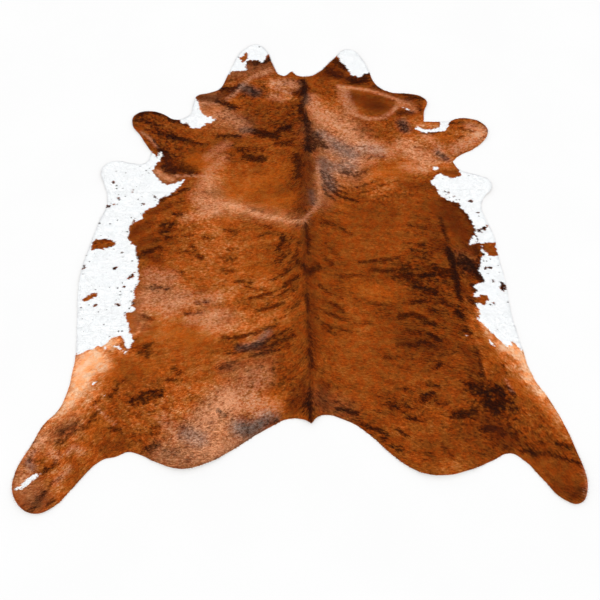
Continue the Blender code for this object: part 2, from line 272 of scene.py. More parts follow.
# Lighter hair, and painted light: broad lit areas on the left flank and shoulders, and a painted
# highlight beside the right flank fold
LIGHT_HAIR_AND_PAINTED_LIGHT = (
    # neck and shoulders
    (0.8, 12, (274, 86), (290, 94)), (0.45, 20, (214, 118), (224, 127)),
    (0.45, 14, (378, 191), (396, 181)), (0.4, 16, (416, 138), (428, 140)),
    (0.5, 14, (192, 214), (204, 218)), (0.5, 26, (322, 108), (338, 124), (346, 136)),
    (0.45, 22, (358, 168), (375, 172)), (0.6, 22, (328, 136), (341, 166), (330, 182)),
    (0.6, 18, (360, 149), (376, 151)), (0.6, 26, (408, 150), (420, 165)),
    (0.5, 22, (464, 140), (482, 134)), (0.35, 16, (444, 152), (444, 168)),
    (0.3, 20, (240, 172), (250, 178)), (0.5, 2.6, (338, 87), (366, 91), (396, 100)),
    (0.2, 16, (418, 118), (425, 108)), (0.55, 22, (216, 176), (208, 198), (228, 210)),
    (0.55, 18, (235, 208), (270, 216), (295, 222)), (0.25, 18, (205, 225), (215, 235)),
    (0.4, 16, (430, 165), (445, 160)), (0.4, 16, (405, 112), (425, 120)),
    (0.35, 16, (352, 98), (360, 106)),
    # left flank
    (0.35, 30, (205, 235), (240, 250)), (0.35, 24, (150, 296), (175, 302)),
    (0.35, 28, (190, 262), (230, 275)), (0.42, 24, (192, 312), (222, 318), (252, 322)),
    (0.3, 20, (245, 335), (262, 332)), (0.35, 16, (215, 292), (262, 286)),
    (0.3, 26, (150, 330), (175, 345)), (0.6, 16, (204, 331), (222, 331), (240, 327)),
    (0.55, 16, (144, 312), (166, 319)), (0.4, 14, (180, 285), (190, 287)),
    (0.35, 14, (224, 300), (234, 300)), (0.4, 26, (264, 290), (290, 304)),
    (0.3, 16, (270, 318), (284, 320)), (0.3, 14, (244, 348), (252, 348)),
    # left hind leg
    (0.7, 22, (110, 346), (96, 356), (82, 372)), (0.7, 24, (80, 362), (72, 395), (58, 412)),
    (0.45, 30, (96, 362), (92, 396)), (0.5, 14, (50, 452), (60, 458)),
    (0.6, 16, (74, 425), (84, 418)), (0.4, 14, (86, 456), (94, 454)),
    (0.35, 18, (148, 410), (180, 411)), (0.6, 22, (42, 434), (32, 452), (20, 478)),
    (0.5, 22, (56, 476), (54, 498)), (0.3, 20, (60, 445), (85, 440)),
    # left rump
    (0.3, 30, (175, 380), (205, 370)), (0.3, 20, (226, 364), (242, 368)),
    (0.35, 14, (127, 352), (136, 357)), (0.55, 32, (222, 402), (212, 435)),
    (0.4, 22, (228, 428), (240, 416)), (0.4, 16, (186, 392), (218, 387)),
    (0.35, 18, (255, 410), (262, 405)), (0.3, 16, (175, 400), (185, 408)),
    (0.3, 14, (135, 425), (145, 430)), (0.6, 26, (165, 448), (205, 458)),
    (0.45, 22, (254, 406), (264, 406)),
    # right side, with a painted highlight strip along the lit side of the flank fold
    (0.5, 6, (464, 300), (471, 320), (478, 345), (484, 372)), (0.4, 20, (482, 318), (500, 340)),
    (0.75, 19, (512, 347), (530, 370), (543, 392)), (0.55, 20, (544, 398), (566, 432)),
    (0.5, 14, (512, 370), (522, 376)), (0.5, 16, (446, 468), (456, 468)),
    (0.15, 26, (345, 300), (360, 330)),
)
# Darker hair, and painted shade: broad shade over the right flank, in the groove along the spine and
# beside the flank fold
DEEP_HAIR_AND_PAINTED_SHADE = (
    # neck and shoulders
    (0.75, 24, (150, 122), (166, 138), (182, 164)), (0.35, 24, (230, 120), (250, 150)),
    (0.65, 24, (262, 118), (285, 128)), (0.6, 18, (290, 110), (298, 150), (296, 190)),
    (0.25, 26, (245, 175), (275, 185)), (0.3, 18, (290, 85), (325, 95)),
    (0.6, 16, (326, 72), (345, 66)), (0.6, 12, (305, 99), (304, 113)),
    (0.35, 14, (220, 143), (234, 146)), (0.35, 14, (199, 153), (208, 159)),
    (0.3, 12, (218, 156), (228, 157)), (0.3, 20, (360, 85), (380, 100)),
    (0.6, 14, (354, 99), (368, 105), (384, 106)), (0.3, 18, (235, 95), (255, 105)),
    # left flank
    (0.2, 22, (148, 215), (150, 250)), (0.35, 14, (164, 228), (172, 246), (150, 258)),
    (0.35, 16, (234, 262), (247, 266)), (0.35, 14, (174, 341), (188, 344)),
    # spine, with painted shade in the groove along it
    (0.8, 16, (300, 210), (301, 222)), (0.3, 20, (302, 230), (302, 260), (300, 300)),
    (0.4, 14, (286, 374), (290, 384)), (0.3, 18, (300, 300), (300, 350), (303, 400)),
    (0.3, 22, (275, 340), (280, 370)), (0.3, 18, (298, 400), (322, 408)),
    (0.3, 24, (325, 225), (328, 280), (330, 330)), (0.2, 22, (322, 345), (326, 380), (325, 410)),
    (0.35, 20, (350, 205), (385, 212)), (0.3, 20, (345, 270), (345, 310)),
    # right flank, darker overall, with painted shade beside its fold
    (0.4, 24, (430, 185), (455, 205)), (0.7, 26, (450, 215), (468, 240)),
    (1, 26, (458, 258), (474, 272)), (0.6, 14, (455, 290), (462, 312)),
    (0.8, 26, (420, 262), (432, 292)), (0.45, 22, (424, 215), (438, 245)),
    (0.5, 20, (372, 268), (410, 278)), (0.65, 30, (425, 290), (455, 330)),
    (0.4, 16, (462, 282), (468, 314)), (0.7, 30, (395, 312), (425, 340)),
    (0.25, 20, (355, 300), (380, 305)),
    # right rump and hind leg
    (0.45, 32, (400, 360), (450, 365)), (0.4, 30, (465, 345), (490, 385)),
    (0.6, 24, (475, 386), (500, 402)), (0.55, 26, (388, 402), (402, 408)),
    (0.8, 18, (484, 436), (500, 452)), (0.4, 20, (450, 436), (468, 428)),
    (0.4, 14, (474, 398), (486, 406)), (0.3, 16, (534, 420), (558, 434)),
    (0.5, 24, (430, 400), (466, 416)), (0.4, 24, (486, 422), (506, 438)),
    (0.75, 26, (505, 430), (530, 448)), (0.4, 14, (499, 410), (508, 417)),
    (0.5, 26, (546, 448), (570, 470)), (0.35, 22, (554, 476), (582, 495)),
    (0.3, 20, (352, 415), (390, 452)), (0.35, 26, (432, 450), (470, 455)),
    (0.4, 20, (470, 430), (480, 450)),
    # left rump
    (0.4, 16, (140, 430), (172, 446)), (0.3, 18, (245, 420), (265, 412)),
)
DUSKY_HAIR = (
    # neck and shoulders
    (0.5, 18, (235, 72), (262, 68)), (0.6, 16, (212, 98), (205, 105)),
    (0.4, 22, (215, 118), (240, 125)), (0.65, 24, (318, 130), (330, 160)),
    (0.65, 22, (345, 150), (352, 175)), (0.6, 20, (325, 180), (320, 200)),
    (0.45, 18, (345, 118), (360, 135)), (0.45, 18, (410, 150), (425, 160)),
    (0.6, 20, (208, 190), (212, 205)), (0.5, 14, (225, 208), (270, 216), (300, 222)),
    (0.4, 16, (155, 175), (170, 182)),
    # left side
    (0.55, 20, (152, 290), (174, 300)), (0.4, 20, (202, 316), (226, 320)),
    (0.3, 20, (255, 345), (265, 360)), (0.45, 20, (230, 368), (248, 372)),
    (0.9, 30, (225, 404), (200, 438)), (0.9, 28, (165, 455), (205, 460), (245, 440)),
    (0.45, 16, (138, 305), (140, 325)), (0.6, 24, (20, 480), (35, 500)),
    (0.4, 22, (40, 440), (70, 425)), (0.3, 16, (82, 352), (75, 372)),
    # right side
    (0.3, 22, (320, 400), (345, 412)), (0.4, 16, (462, 258), (470, 264)),
)
# Partings of the hair along the spine, and painted shadow along the right flank fold, as thin
# unbroken dark lines
PARTINGS_AND_CREASE_SHADOWS = (
    # neck and shoulders
    (0.8, 4, (303, 84), (305, 93), (305, 100)), (0.55, 4, (305, 118), (307, 135), (309, 150)),
    (0.35, 3.4, (309, 150), (311, 175)),
    # back
    (0.35, 3, (303, 228), (303, 250)), (0.4, 3.4, (304, 255), (306, 280)),
    (0.35, 2.8, (307, 290), (308, 330), (309, 370)), (0.35, 3, (309, 375), (310, 400), (311, 415)),
    # right side: painted shadow down the flank fold
    (0.6, 2.2, (441, 218), (443, 230), (446, 243)), (0.85, 4.2, (446, 246), (450, 259), (455, 277)),
    (0.55, 3, (455, 277), (457, 287), (459, 297)), (0.4, 2.6, (474, 338), (479, 356), (483, 375)),
    (1, 2.4, (218, 411), (221, 414), (226, 417)),
)
DARK_HAIR = (
    # neck and shoulders
    (1, 3, (302, 82), (306, 89)), (1.2, 3.6, (302, 90), (306, 98)),
    (1.12, 3.4, (306, 101), (301, 107), (302, 113)), (0.8, 2.8, (303, 115), (306, 122)),
    (1.02, 3.6, (306, 121), (310, 132)), (1.24, 4, (309, 140), (316, 136)),
    (1.32, 5, (309, 149), (315, 145)), (1.08, 3.6, (319, 140), (324, 147)),
    (1.04, 3.4, (222, 89), (233, 90)), (0.95, 2.2, (233, 89), (243, 85)),
    (1.08, 3.2, (248, 63), (254, 64), (260, 63)), (1.08, 2.6, (265, 63), (270, 60)),
    (1.02, 3.2, (217, 102), (225, 104), (233, 108)), (0.6, 4, (248, 90), (255, 94)),
    (0.6, 3, (262, 86), (266, 92)), (1, 3.2, (292, 94), (299, 96)),
    (0.7, 1.4, (277, 86), (286, 84)), (0.7, 1.4, (276, 94), (290, 97)),
    (1.12, 3.4, (243, 131), (262, 132)), (1.2, 4, (258, 134), (276, 136)),
    (1, 3.2, (278, 132), (290, 128)), (0.8, 2, (218, 136), (240, 138)),
    (0.7, 3, (276, 144), (290, 144)), (0.65, 3, (240, 151), (262, 151)),
    (0.9, 4.4, (246, 157), (262, 160)), (0.8, 4, (296, 156), (299, 166), (297, 176)),
    (1.12, 1.5, (322, 172), (325, 182), (331, 190), (340, 197), (352, 201), (358, 202)),
    (1.04, 1.3, (327, 174), (331, 183), (337, 190), (346, 194)),
    (1, 1.2, (332, 178), (338, 185), (346, 189)), (1.04, 1.3, (322, 186), (327, 195), (335, 201)),
    (0.8, 1.6, (356, 188), (364, 186), (373, 182), (382, 178)),
    (0.6, 1.5, (360, 194), (372, 190), (384, 185), (398, 181)),
    (0.9, 3.6, (345, 173), (356, 176), (367, 172)), (0.7, 1.5, (364, 160), (384, 158)),
    (0.9, 4, (402, 124), (405, 129)), (0.8, 2, (424, 133), (438, 133)),
    (0.7, 4, (438, 155), (445, 160)), (1.04, 3.4, (401, 114), (412, 113)),
    (0.85, 4, (330, 72), (338, 77)), (1.1, 4.2, (350, 80), (358, 82), (365, 80)),
    (1.08, 3, (334, 61), (341, 65), (348, 69)), (1.04, 2.4, (364, 75), (370, 74)),
    (0.8, 1.8, (376, 87), (400, 94), (412, 96)), (0.85, 3, (408, 98), (421, 100)),
    (0.6, 2, (420, 106), (421, 116)), (0.75, 2, (449, 124), (462, 123), (474, 127)),
    (0.8, 1.6, (462, 129), (474, 132)), (0.9, 1.6, (476, 120), (484, 126), (487, 133)),
    (0.8, 1.6, (477, 142), (486, 136)), (0.6, 2.2, (448, 134), (462, 138)),
    # left foreleg
    (1.04, 2, (134, 122), (138, 117), (146, 113)), (0.85, 1.6, (148, 113), (158, 114), (168, 118)),
    (1.1, 2.4, (170, 120), (178, 122), (187, 125)), (0.6, 3, (142, 121), (156, 127)),
    (1.04, 2.6, (173, 137), (180, 139), (188, 140)), (0.65, 2.4, (160, 133), (172, 137)),
    (0.7, 2, (188, 142), (204, 146)), (0.95, 1.5, (153, 140), (158, 146), (160, 153)),
    (1.02, 4, (165, 153), (165, 160)), (0.9, 5, (166, 166), (173, 172)),
    (1.12, 5.4, (184, 168), (191, 171)),
    # left flank
    (1.16, 2.2, (178, 192), (188, 189)), (0.9, 2.4, (160, 200), (174, 195)),
    (0.56, 3, (168, 206), (182, 202)), (0.78, 3, (173, 214), (181, 215)),
    (0.73, 3.4, (164, 226), (174, 223)), (0.67, 3, (160, 233), (170, 229)),
    (0.56, 3, (182, 236), (192, 234)), (0.84, 3.2, (138, 258), (147, 252)),
    (1.09, 3, (150, 252), (159, 248)), (0.67, 3, (156, 242), (172, 238)),
    (0.62, 3, (204, 238), (214, 238)), (0.67, 3.4, (180, 252), (190, 253)),
    (0.9, 2.4, (192, 247), (197, 251)), (1.05, 2.6, (197, 256), (203, 259)),
    (0.67, 2.4, (228, 250), (234, 249)), (0.67, 3, (226, 230), (236, 233)),
    (0.67, 2.4, (174, 271), (184, 272)), (0.56, 3, (222, 270), (234, 272)),
    (0.56, 2.4, (226, 259), (234, 259)), (0.67, 3, (150, 289), (168, 290)),
    (1, 3.2, (142, 316), (151, 319)), (0.56, 2.6, (196, 303), (212, 302)),
    (0.56, 2.6, (186, 315), (202, 313)), (1, 2.2, (237, 281.5), (252, 283)),
    (0.78, 2, (245, 287), (256, 290), (268, 290)), (0.56, 2.4, (250, 298), (270, 294)),
    (1.05, 2, (256, 311), (266, 309), (284, 303)), (0.56, 1.6, (262, 300), (276, 297), (292, 286)),
    # left back
    (0.73, 1.4, (298, 264), (285, 274), (272, 281)),
    (0.67, 1.4, (300, 274), (284, 288), (264, 296), (250, 298)),
    (0.56, 1.4, (297, 288), (283, 300), (264, 305)),
    (0.56, 1.3, (301, 302), (289, 315), (272, 321)), (0.78, 1.4, (291, 250), (280, 264)),
    (0.84, 2.6, (254, 334), (262, 330), (276, 326)),
    (1, 2.2, (222, 338), (238, 338), (250, 335), (258, 332)),
    (0.95, 2.8, (236, 348), (252, 346), (264, 344)),
    (0.84, 3, (246, 351), (262, 349), (280, 343), (292, 336)),
    (0.62, 2.4, (264, 340), (276, 337), (290, 330)), (0.67, 2.4, (226, 353), (245, 352)),
    (0.56, 2.4, (250, 357), (270, 352), (290, 346)), (0.56, 3.6, (221, 368), (236, 364)),
    (1.14, 3.2, (281, 235), (284, 241)), (0.78, 3, (277, 250), (282, 244)),
    (0.67, 2.4, (276, 262), (286, 250), (292, 238)),
    (0.56, 2.4, (284, 272), (294, 258), (300, 244)), (1.05, 2.8, (298, 261), (303, 267)),
    (1, 1.8, (306, 226), (308, 240), (308, 254)), (1.05, 4, (308, 271), (318, 268)),
    (0.67, 2.4, (284, 285), (294, 277)), (0.62, 2.4, (280, 297), (290, 288), (298, 279)),
    (0.67, 2.2, (297, 303), (284, 312)), (0.84, 2, (306, 296), (309, 312)),
    (0.56, 1.8, (309, 322), (311, 346)), (0.78, 2.2, (310, 352), (312, 368)),
    (0.56, 2.4, (258, 225), (272, 228)), (0.56, 2.6, (262, 236), (274, 232)),
    (0.56, 2, (252, 210), (262, 212)),
    # right back and flank
    (0.7, 1.4, (314, 306), (328, 314), (344, 320)), (0.7, 1.4, (316, 318), (332, 328), (352, 332)),
    (0.65, 1.3, (318, 286), (330, 294), (342, 298)), (0.6, 1.3, (372, 304), (390, 306)),
    (0.5, 2.6, (322, 223), (336, 226)), (0.5, 2.6, (340, 228), (350, 236)),
    (0.5, 2.6, (326, 244), (338, 256)), (0.5, 2.4, (322, 256), (334, 266)),
    (0.6, 2.4, (322, 300), (336, 305)), (0.8, 2.2, (336, 306), (342, 311)),
    (0.5, 2.4, (326, 312), (346, 320)), (0.5, 2, (350, 324), (360, 325)),
    (0.5, 2.4, (322, 326), (336, 336)), (0.5, 2.6, (340, 276), (362, 275)),
    (0.9, 1.5, (358, 263), (372, 261), (384, 260)), (1.08, 2.4, (382, 260), (392, 259), (399, 258)),
    (0.7, 3, (374, 270), (392, 271), (408, 273)), (0.7, 2.4, (392, 276), (410, 278)),
    (0.5, 5, (396, 262), (406, 266)), (1.06, 2.6, (422, 276.5), (433, 275)),
    (0.6, 4, (396, 278), (418, 281)), (0.85, 3, (415, 288), (426, 290), (436, 293)),
    (0.8, 2.2, (411, 303), (425, 302)), (0.6, 3, (434, 268), (440, 274)),
    (1.02, 3, (400, 317), (412, 315), (424, 319)), (0.7, 2.6, (426, 322), (435, 325)),
    (0.5, 3, (430, 311), (440, 315)), (1, 3, (430, 334), (438, 339)),
    (0.6, 3, (420, 343), (436, 347)), (0.95, 2, (384, 358), (390, 359)),
    (0.9, 2, (434, 368), (441, 365)), (0.8, 2.4, (398, 345), (418, 346)),
    (0.6, 2.4, (364, 322), (372, 323)), (0.5, 2.4, (408, 225), (430, 228)),
    (0.5, 2.6, (412, 250), (432, 254)), (0.55, 3, (404, 243), (424, 246)),
    # the strokes from (440, 219) down to (460, 302) follow the flank fold: painted shadow in it,
    # laid as dark hair
    (1.08, 3.4, (457, 312), (462, 318)), (0.9, 1.8, (440, 219), (444, 230), (447, 241)),
    (1, 3, (448, 250), (451, 260)), (1.08, 3.4, (446, 271), (453, 280)),
    (1, 3, (452, 264), (456, 276), (457, 288)), (0.9, 2.4, (457, 290), (460, 302)),
    (0.75, 4, (466, 262), (478, 270)), (0.8, 2.2, (440, 200), (452, 202), (460, 208)),
    (0.85, 2.2, (462, 210), (469, 218), (475, 229), (474, 240)),
    (1.24, 3.2, (473, 286.5), (478, 292)), (1.32, 3.4, (478, 276.5), (484, 280.5)),
    (0.7, 7, (460, 263), (474, 268)), (0.8, 3, (470, 300), (476, 305)),
    (0.5, 3, (462, 328), (470, 334)), (0.6, 2.4, (474, 322), (478, 328)),
    (0.5, 3, (436, 266), (446, 282)), (0.5, 3, (440, 300), (450, 306)),
    (0.55, 3, (476, 248), (480, 262)), (0.5, 2.4, (400, 330), (420, 332)),
    # right hind leg
    (0.7, 6, (474, 386), (487, 393)), (0.8, 6.5, (497, 390), (502, 400), (500, 406)),
    (1, 5, (487, 403), (496, 410)), (0.9, 2.4, (507, 388), (514, 395)),
    (0.8, 4.6, (457, 416), (466, 414), (475, 412)), (0.85, 3.4, (482, 430), (496, 429), (502, 433)),
    # (476, 348) to (483, 375) is painted shadow at the foot of the flank fold, and (520, 452) to
    # (578, 464) painted shadow in the crease at the hock
    (0.8, 2.4, (476, 348), (480, 362), (483, 376)), (0.7, 1.6, (501, 364), (508, 376)),
    (0.8, 3.2, (556, 443), (570, 448)), (0.8, 1.6, (520, 452), (536, 454), (548, 454)),
    (0.85, 1.6, (550, 455), (562, 458), (578, 464)), (0.9, 3, (531, 453), (538, 455)),
    (0.7, 5, (570, 498), (582, 491)), (0.6, 3, (508, 402), (516, 410)),
    (1.04, 2, (420, 397), (434, 393)), (0.9, 1.8, (422, 403), (430, 398)),
    (0.6, 1.8, (403, 388), (412, 392)), (0.9, 2.4, (409, 418), (420, 421)),
    (0.75, 2.4, (402, 432), (408, 437)), (0.6, 2.4, (443, 448), (452, 457)),
    (0.6, 2, (452, 460), (460, 464)), (0.6, 2.4, (428, 454), (438, 460)),
    (0.6, 2, (426, 384), (440, 387)),
    # rump and tail
    (0.7, 2.6, (310, 392), (310, 408)), (1.12, 2.6, (310, 404), (311, 422)),
    (0.7, 3, (306, 404), (304, 414)), (1, 2.4, (337, 409), (346, 411), (357, 414)),
    (0.7, 2, (334, 402), (345, 406)), (0.95, 2.4, (366, 427), (378, 430), (386, 435)),
    (0.9, 2.6, (387, 406), (396, 408)), (0.6, 2.4, (404, 407), (410, 409)),
    (0.6, 2, (397, 388), (406, 392)), (0.7, 2, (358, 422), (366, 426)),
    (0.6, 2, (382, 438), (388, 441)), (0.7, 2, (396, 429), (406, 435)),
    (0.6, 2, (377, 412), (392, 416)), (0.6, 2, (392, 446), (402, 452)),
    (0.9, 2.4, (268, 424), (277, 421)),
    # left hind leg
    (2.2, 4.4, (134, 402), (143, 400)), (2.4, 5, (145, 397), (157, 394)),
    (0.9, 2.8, (110, 397), (117, 389)), (0.6, 2.4, (118, 386), (126, 381)),
    (0.7, 2.6, (93, 405), (101, 399)), (0.9, 4, (142, 353), (149, 344)),
    (0.8, 3, (146, 356), (150, 352)), (0.7, 2, (121, 345), (126, 347)),
    (0.6, 1.6, (107, 352), (117, 353.5)), (0.9, 2.6, (173, 368), (179, 374)),
    (0.6, 2.6, (166, 379), (176, 380)), (1.1, 3.4, (146, 449), (155, 446)),
    (0.6, 3, (108, 430), (120, 429)), (0.8, 3, (57, 443), (66, 439), (76, 430)),
    (1.12, 2.4, (150, 446), (154, 449)), (0.7, 2.6, (60, 434), (78, 422)),
    (1.04, 3.4, (29, 460), (34, 453)), (0.8, 3, (43, 472), (56, 465)),
    (1.16, 3.4, (44, 493), (40, 500)), (0.8, 3.6, (38, 502), (33, 509)),
    (1.08, 2.4, (49, 504), (54, 500)), (0.6, 3, (50, 484), (60, 478)),
    (0.6, 2.4, (56, 462), (60, 452)), (0.6, 2, (40, 429), (48, 423)),
    (0.7, 1.8, (33, 445), (36, 440)), (0.8, 3, (84, 430), (96, 414)),
)
# Pale hair, with painted highlights and painted sheen along the crests of the folds, beside the
# spine and on a curled edge
PALE_HAIR_AND_SHEEN = (
    # neck
    (1, 5, (275, 84), (286, 83), (294, 86)), (0.8, 4, (272, 97), (282, 99)),
    (0.9, 2, (274, 88), (290, 94)), (1, 6, (311, 100), (316, 112), (324, 120)),
    (0.9, 8, (324, 117), (334, 123), (346, 131)), (0.7, 6.5, (222, 113), (234, 120), (244, 130)),
    (1, 1.8, (199, 107), (203, 103.5), (216, 105)), (1, 1.8, (199, 110), (206, 116), (215, 118)),
    (1, 2, (228, 100), (237, 92), (245, 84), (252, 78), (262, 74), (270, 70)),
    (0.6, 3, (256, 76), (268, 72)),
    (1, 1.8, (338, 87), (350, 88), (366, 91), (380, 95), (396, 100), (404, 104)),
    (1, 2, (346, 99), (350, 109), (357, 116), (368, 120), (381, 119), (390, 114), (397, 107)),
    (1, 4.6, (343, 90), (346, 102), (351, 111)), (0.7, 8, (350, 138), (372, 148), (388, 152)),
    (0.6, 4, (400, 104), (408, 104), (412, 110)), (0.6, 5, (372, 162), (352, 163)),
    # shoulders and forelegs
    (0.6, 4.6, (208, 158), (218, 150), (226, 146)), (0.6, 6, (204, 186), (210, 172), (222, 160)),
    (1, 1.6, (177, 176), (192, 176), (208, 177)), (0.8, 3.4, (156, 172), (163, 177), (172, 180)),
    (0.7, 3.2, (212, 203), (230, 206), (246, 211), (260, 216)),
    (0.9, 2, (258, 216), (276, 219), (290, 222), (304, 222)),
    (0.7, 6, (196, 196), (204, 206), (216, 212)), (1, 2, (305, 220), (311, 213), (318, 206)),
    (0.6, 2.6, (319, 204), (320, 190), (319, 168)), (0.65, 8, (404, 146), (416, 154), (430, 160)),
    (0.7, 5, (406, 168), (424, 170)), (0.9, 6, (456, 150), (472, 142), (482, 134)),
    (0.8, 5, (470, 127), (480, 131)), (0.6, 4, (425, 136), (440, 148)),
    (1, 1.4, (142, 133), (150, 139), (156, 147)), (0.6, 2.4, (452, 150), (468, 146)),
    # left flank and back
    (0.75, 11, (150, 300), (168, 306), (182, 300)), (0.8, 8, (150, 276), (170, 280)),
    (0.6, 7, (196, 300), (216, 298)), (0.55, 6, (190, 320), (208, 318), (224, 315)),
    (0.5, 5, (206, 326), (222, 328)), (0.5, 5, (186, 218), (206, 214)),
    # rump and left hind leg
    (0.7, 15, (196, 430), (212, 416), (226, 404)), (0.6, 8, (228, 442), (238, 438)),
    (0.65, 12, (226, 402), (248, 388), (260, 378)), (0.8, 10, (240, 400), (258, 406)),
    (0.9, 1.2, (96, 407), (105, 416), (114, 425)), (0.7, 7, (212, 451), (226, 447)),
    (0.6, 7, (164, 420), (176, 436)), (0.9, 3, (68, 454), (74, 447), (82, 453)),
    (0.8, 4, (68, 470), (58, 482)), (0.9, 5, (40, 440), (30, 456)), (0.8, 4, (52, 453), (57, 459)),
    (0.7, 4, (30, 472), (22, 482)), (0.8, 6, (256, 412), (276, 408)),
    # right hind leg: a painted highlight along its curled outer edge, and a pale streak
    (1, 1.6, (583, 468), (587, 482), (585, 496)), (0.9, 1.4, (506, 380), (512, 391)),
)
GREY_HAIR = (
    # neck
    (0.7, 5, (320, 134), (330, 139)), (0.6, 5, (402, 123), (405, 129)),
    (0.8, 8, (336, 146), (352, 156)), (0.6, 7, (362, 150), (378, 152)),
    (0.7, 6, (323, 162), (326, 176), (331, 188)), (0.6, 7, (334, 168), (350, 168)),
    (0.8, 5, (244, 88), (255, 93)), (0.6, 3, (311, 192), (314, 204)),
    (0.6, 4, (438, 152), (446, 160)),
    # left hind leg and rump
    (1, 9, (238, 428), (250, 430), (262, 424)), (0.6, 4, (240, 348), (256, 346), (268, 332)),
    (0.7, 5, (266, 416), (276, 418)), (0.6, 8, (186, 434), (200, 440)),
    (0.6, 4, (28, 462), (34, 468)),
)
MAHOGANY_HAIR = (
    # neck and shoulders
    (0.9, 6, (326, 76), (334, 70), (344, 78)), (0.95, 7, (352, 97), (366, 104), (380, 108)),
    (0.7, 3.4, (376, 89), (396, 96), (415, 103)), (0.6, 3, (418, 106), (419, 118)),
    (1.2, 3.2, (200, 99), (216, 98), (230, 93)), (0.6, 5, (302, 156), (303, 180), (301, 210)),
    (0.6, 5, (309, 165), (310, 185), (309, 200)), (0.6, 5, (400, 184), (426, 188)),
    (0.7, 3, (446, 172), (456, 174)), (0.6, 3, (236, 88), (262, 96)),
    (0.9, 2.6, (277, 89), (284, 92)), (1, 3, (291, 91), (298, 92)), (1, 5, (401, 113), (409, 114)),
    (0.8, 7, (165, 158), (172, 168)),
    # back and belly
    (0.95, 5, (132, 236), (138, 230), (146, 226)), (0.7, 5, (138, 246), (150, 240)),
    (0.8, 4, (148, 256), (160, 262)), (0.5, 5, (150, 214), (166, 206)),
    (0.55, 5.5, (309, 226), (310, 260), (311, 300)), (0.7, 5.5, (311, 306), (313, 340), (312, 376)),
    (0.85, 6, (296, 392), (292, 410)), (0.8, 7, (322, 384), (324, 404)),
    (0.8, 4, (304, 380), (304, 400)), (0.9, 9, (446, 212), (456, 224), (462, 234)),
    (0.9, 4.6, (472, 250), (478, 244)), (0.6, 7, (436, 232), (440, 250)),
    (0.7, 6, (464, 348), (474, 366)), (0.5, 10, (404, 340), (440, 350)),
    (0.5, 5, (462, 290), (470, 310)),
    # hind legs
    (0.95, 10, (488, 420), (500, 434), (508, 442)), (0.85, 8, (558, 490), (576, 494)),
    (0.7, 6, (104, 448), (120, 444)), (0.6, 5, (40, 506), (50, 498)),
    (0.6, 5, (60, 432), (74, 424)),
)
ORANGE_HAIR = (
    # neck to rump
    (1.6, 4, (206, 110), (215, 111)), (1, 9, (193, 161), (206, 163)),
    (0.9, 4, (234, 100), (237, 102)), (0.8, 11, (236, 192), (262, 184), (284, 170)),
    (0.7, 8, (268, 205), (290, 198)), (0.6, 8, (244, 268), (262, 270)),
    (0.8, 9, (168, 332), (190, 340)), (0.9, 5, (128, 318), (132, 328)),
    (0.6, 8, (148, 366), (166, 370)), (0.7, 7, (92, 430), (104, 420)),
    (0.85, 7, (274, 396), (280, 410)), (0.6, 9, (352, 286), (390, 296)),
    (0.95, 5.5, (344, 184), (362, 180), (378, 175), (396, 170), (414, 169)),
    (0.8, 4.6, (434, 141), (444, 137), (450, 136)), (0.9, 5.5, (514, 384), (522, 393)),
    (0.6, 7, (544, 404), (556, 420)), (0.6, 7, (490, 362), (500, 352)),
    (0.6, 5, (430, 412), (442, 416)), (0.8, 3, (324, 198), (336, 204), (346, 208)),
    (0.7, 5, (22, 497), (36, 490)), (0.7, 4, (86, 444), (92, 436)),
    (0.6, 5, (106, 384), (120, 372)),
)
TAN_HAIR = (
    # thighs, and along the white
    (0.85, 11, (84, 366), (90, 380)), (0.8, 9, (80, 372), (76, 392), (66, 404)),
    (1, 9, (92, 357), (104, 366)), (0.9, 5, (108, 344), (116, 340)),
    (0.5, 3.6, (106, 348), (120, 354)), (0.5, 6, (94, 396), (78, 410)),
    (0.4, 5, (58, 416), (44, 426)), (0.9, 5, (488, 336), (502, 348)),
    (1, 7, (504, 346), (518, 354), (531, 373)), (0.9, 6, (526, 379), (542, 394)),
    (0.8, 4, (478, 308), (482, 322), (488, 334)), (0.6, 4, (552, 404), (562, 420)),
    (0.8, 2.4, (418, 126), (437, 126)), (0.8, 2.4, (199, 104), (200, 111)),
    (0.5, 4, (160, 174), (170, 179)), (0.7, 3, (514, 345), (520, 352)),
    (0.45, 5, (476, 134), (484, 140)), (0.8, 1.4, (129, 334), (135, 336), (139, 331), (141, 323)),
    (0.6, 4, (500, 356), (514, 368)),
)

TONES = {
    "light": LIGHT_HAIR_AND_PAINTED_LIGHT,
    "deep": DEEP_HAIR_AND_PAINTED_SHADE,
    "dusky": DUSKY_HAIR,
    "parting_and_crease_shade": PARTINGS_AND_CREASE_SHADOWS,
    "dark": DARK_HAIR,
    "pale_and_sheen": PALE_HAIR_AND_SHEEN,
    "grey": GREY_HAIR,
    "mahogany": MAHOGANY_HAIR,
    "orange": ORANGE_HAIR,
    "tan": TAN_HAIR,
    "rough": ROUGH_HAIR,
    "smooth": SMOOTH_HAIR,
}
WASHES = ("light", "deep", "dusky", "parting_and_crease_shade", "rough", "smooth")

# How much lighter or darker each tone makes the hair, in shares of the way from the darkest shade
# to the lightest
TONE_LIGHT = {
    "dark": -0.12,
    "light": 0.31,
    "deep": -0.14,
    "pale_and_sheen": 0.17,
    "grey": -0.06,
    "mahogany": -0.13,
    "orange": 0.07,
    "tan": 0.27,
}
# The share of a tone's own colour that is laid over the coat, on its darkest and lightest hair
TONE_HUE = {
    "orange": (0.2, 0.5),
    "mahogany": (0.2, 0.5),
    "pale_and_sheen": (0.05, 0.8),
}
# Hair that has lost its colour: red, green and blue for each part of lightness left
FADED = {
    "dusky": (2.0, 0.9, 0.45),
    "grey": (1.45, 1.0, 0.8),
}
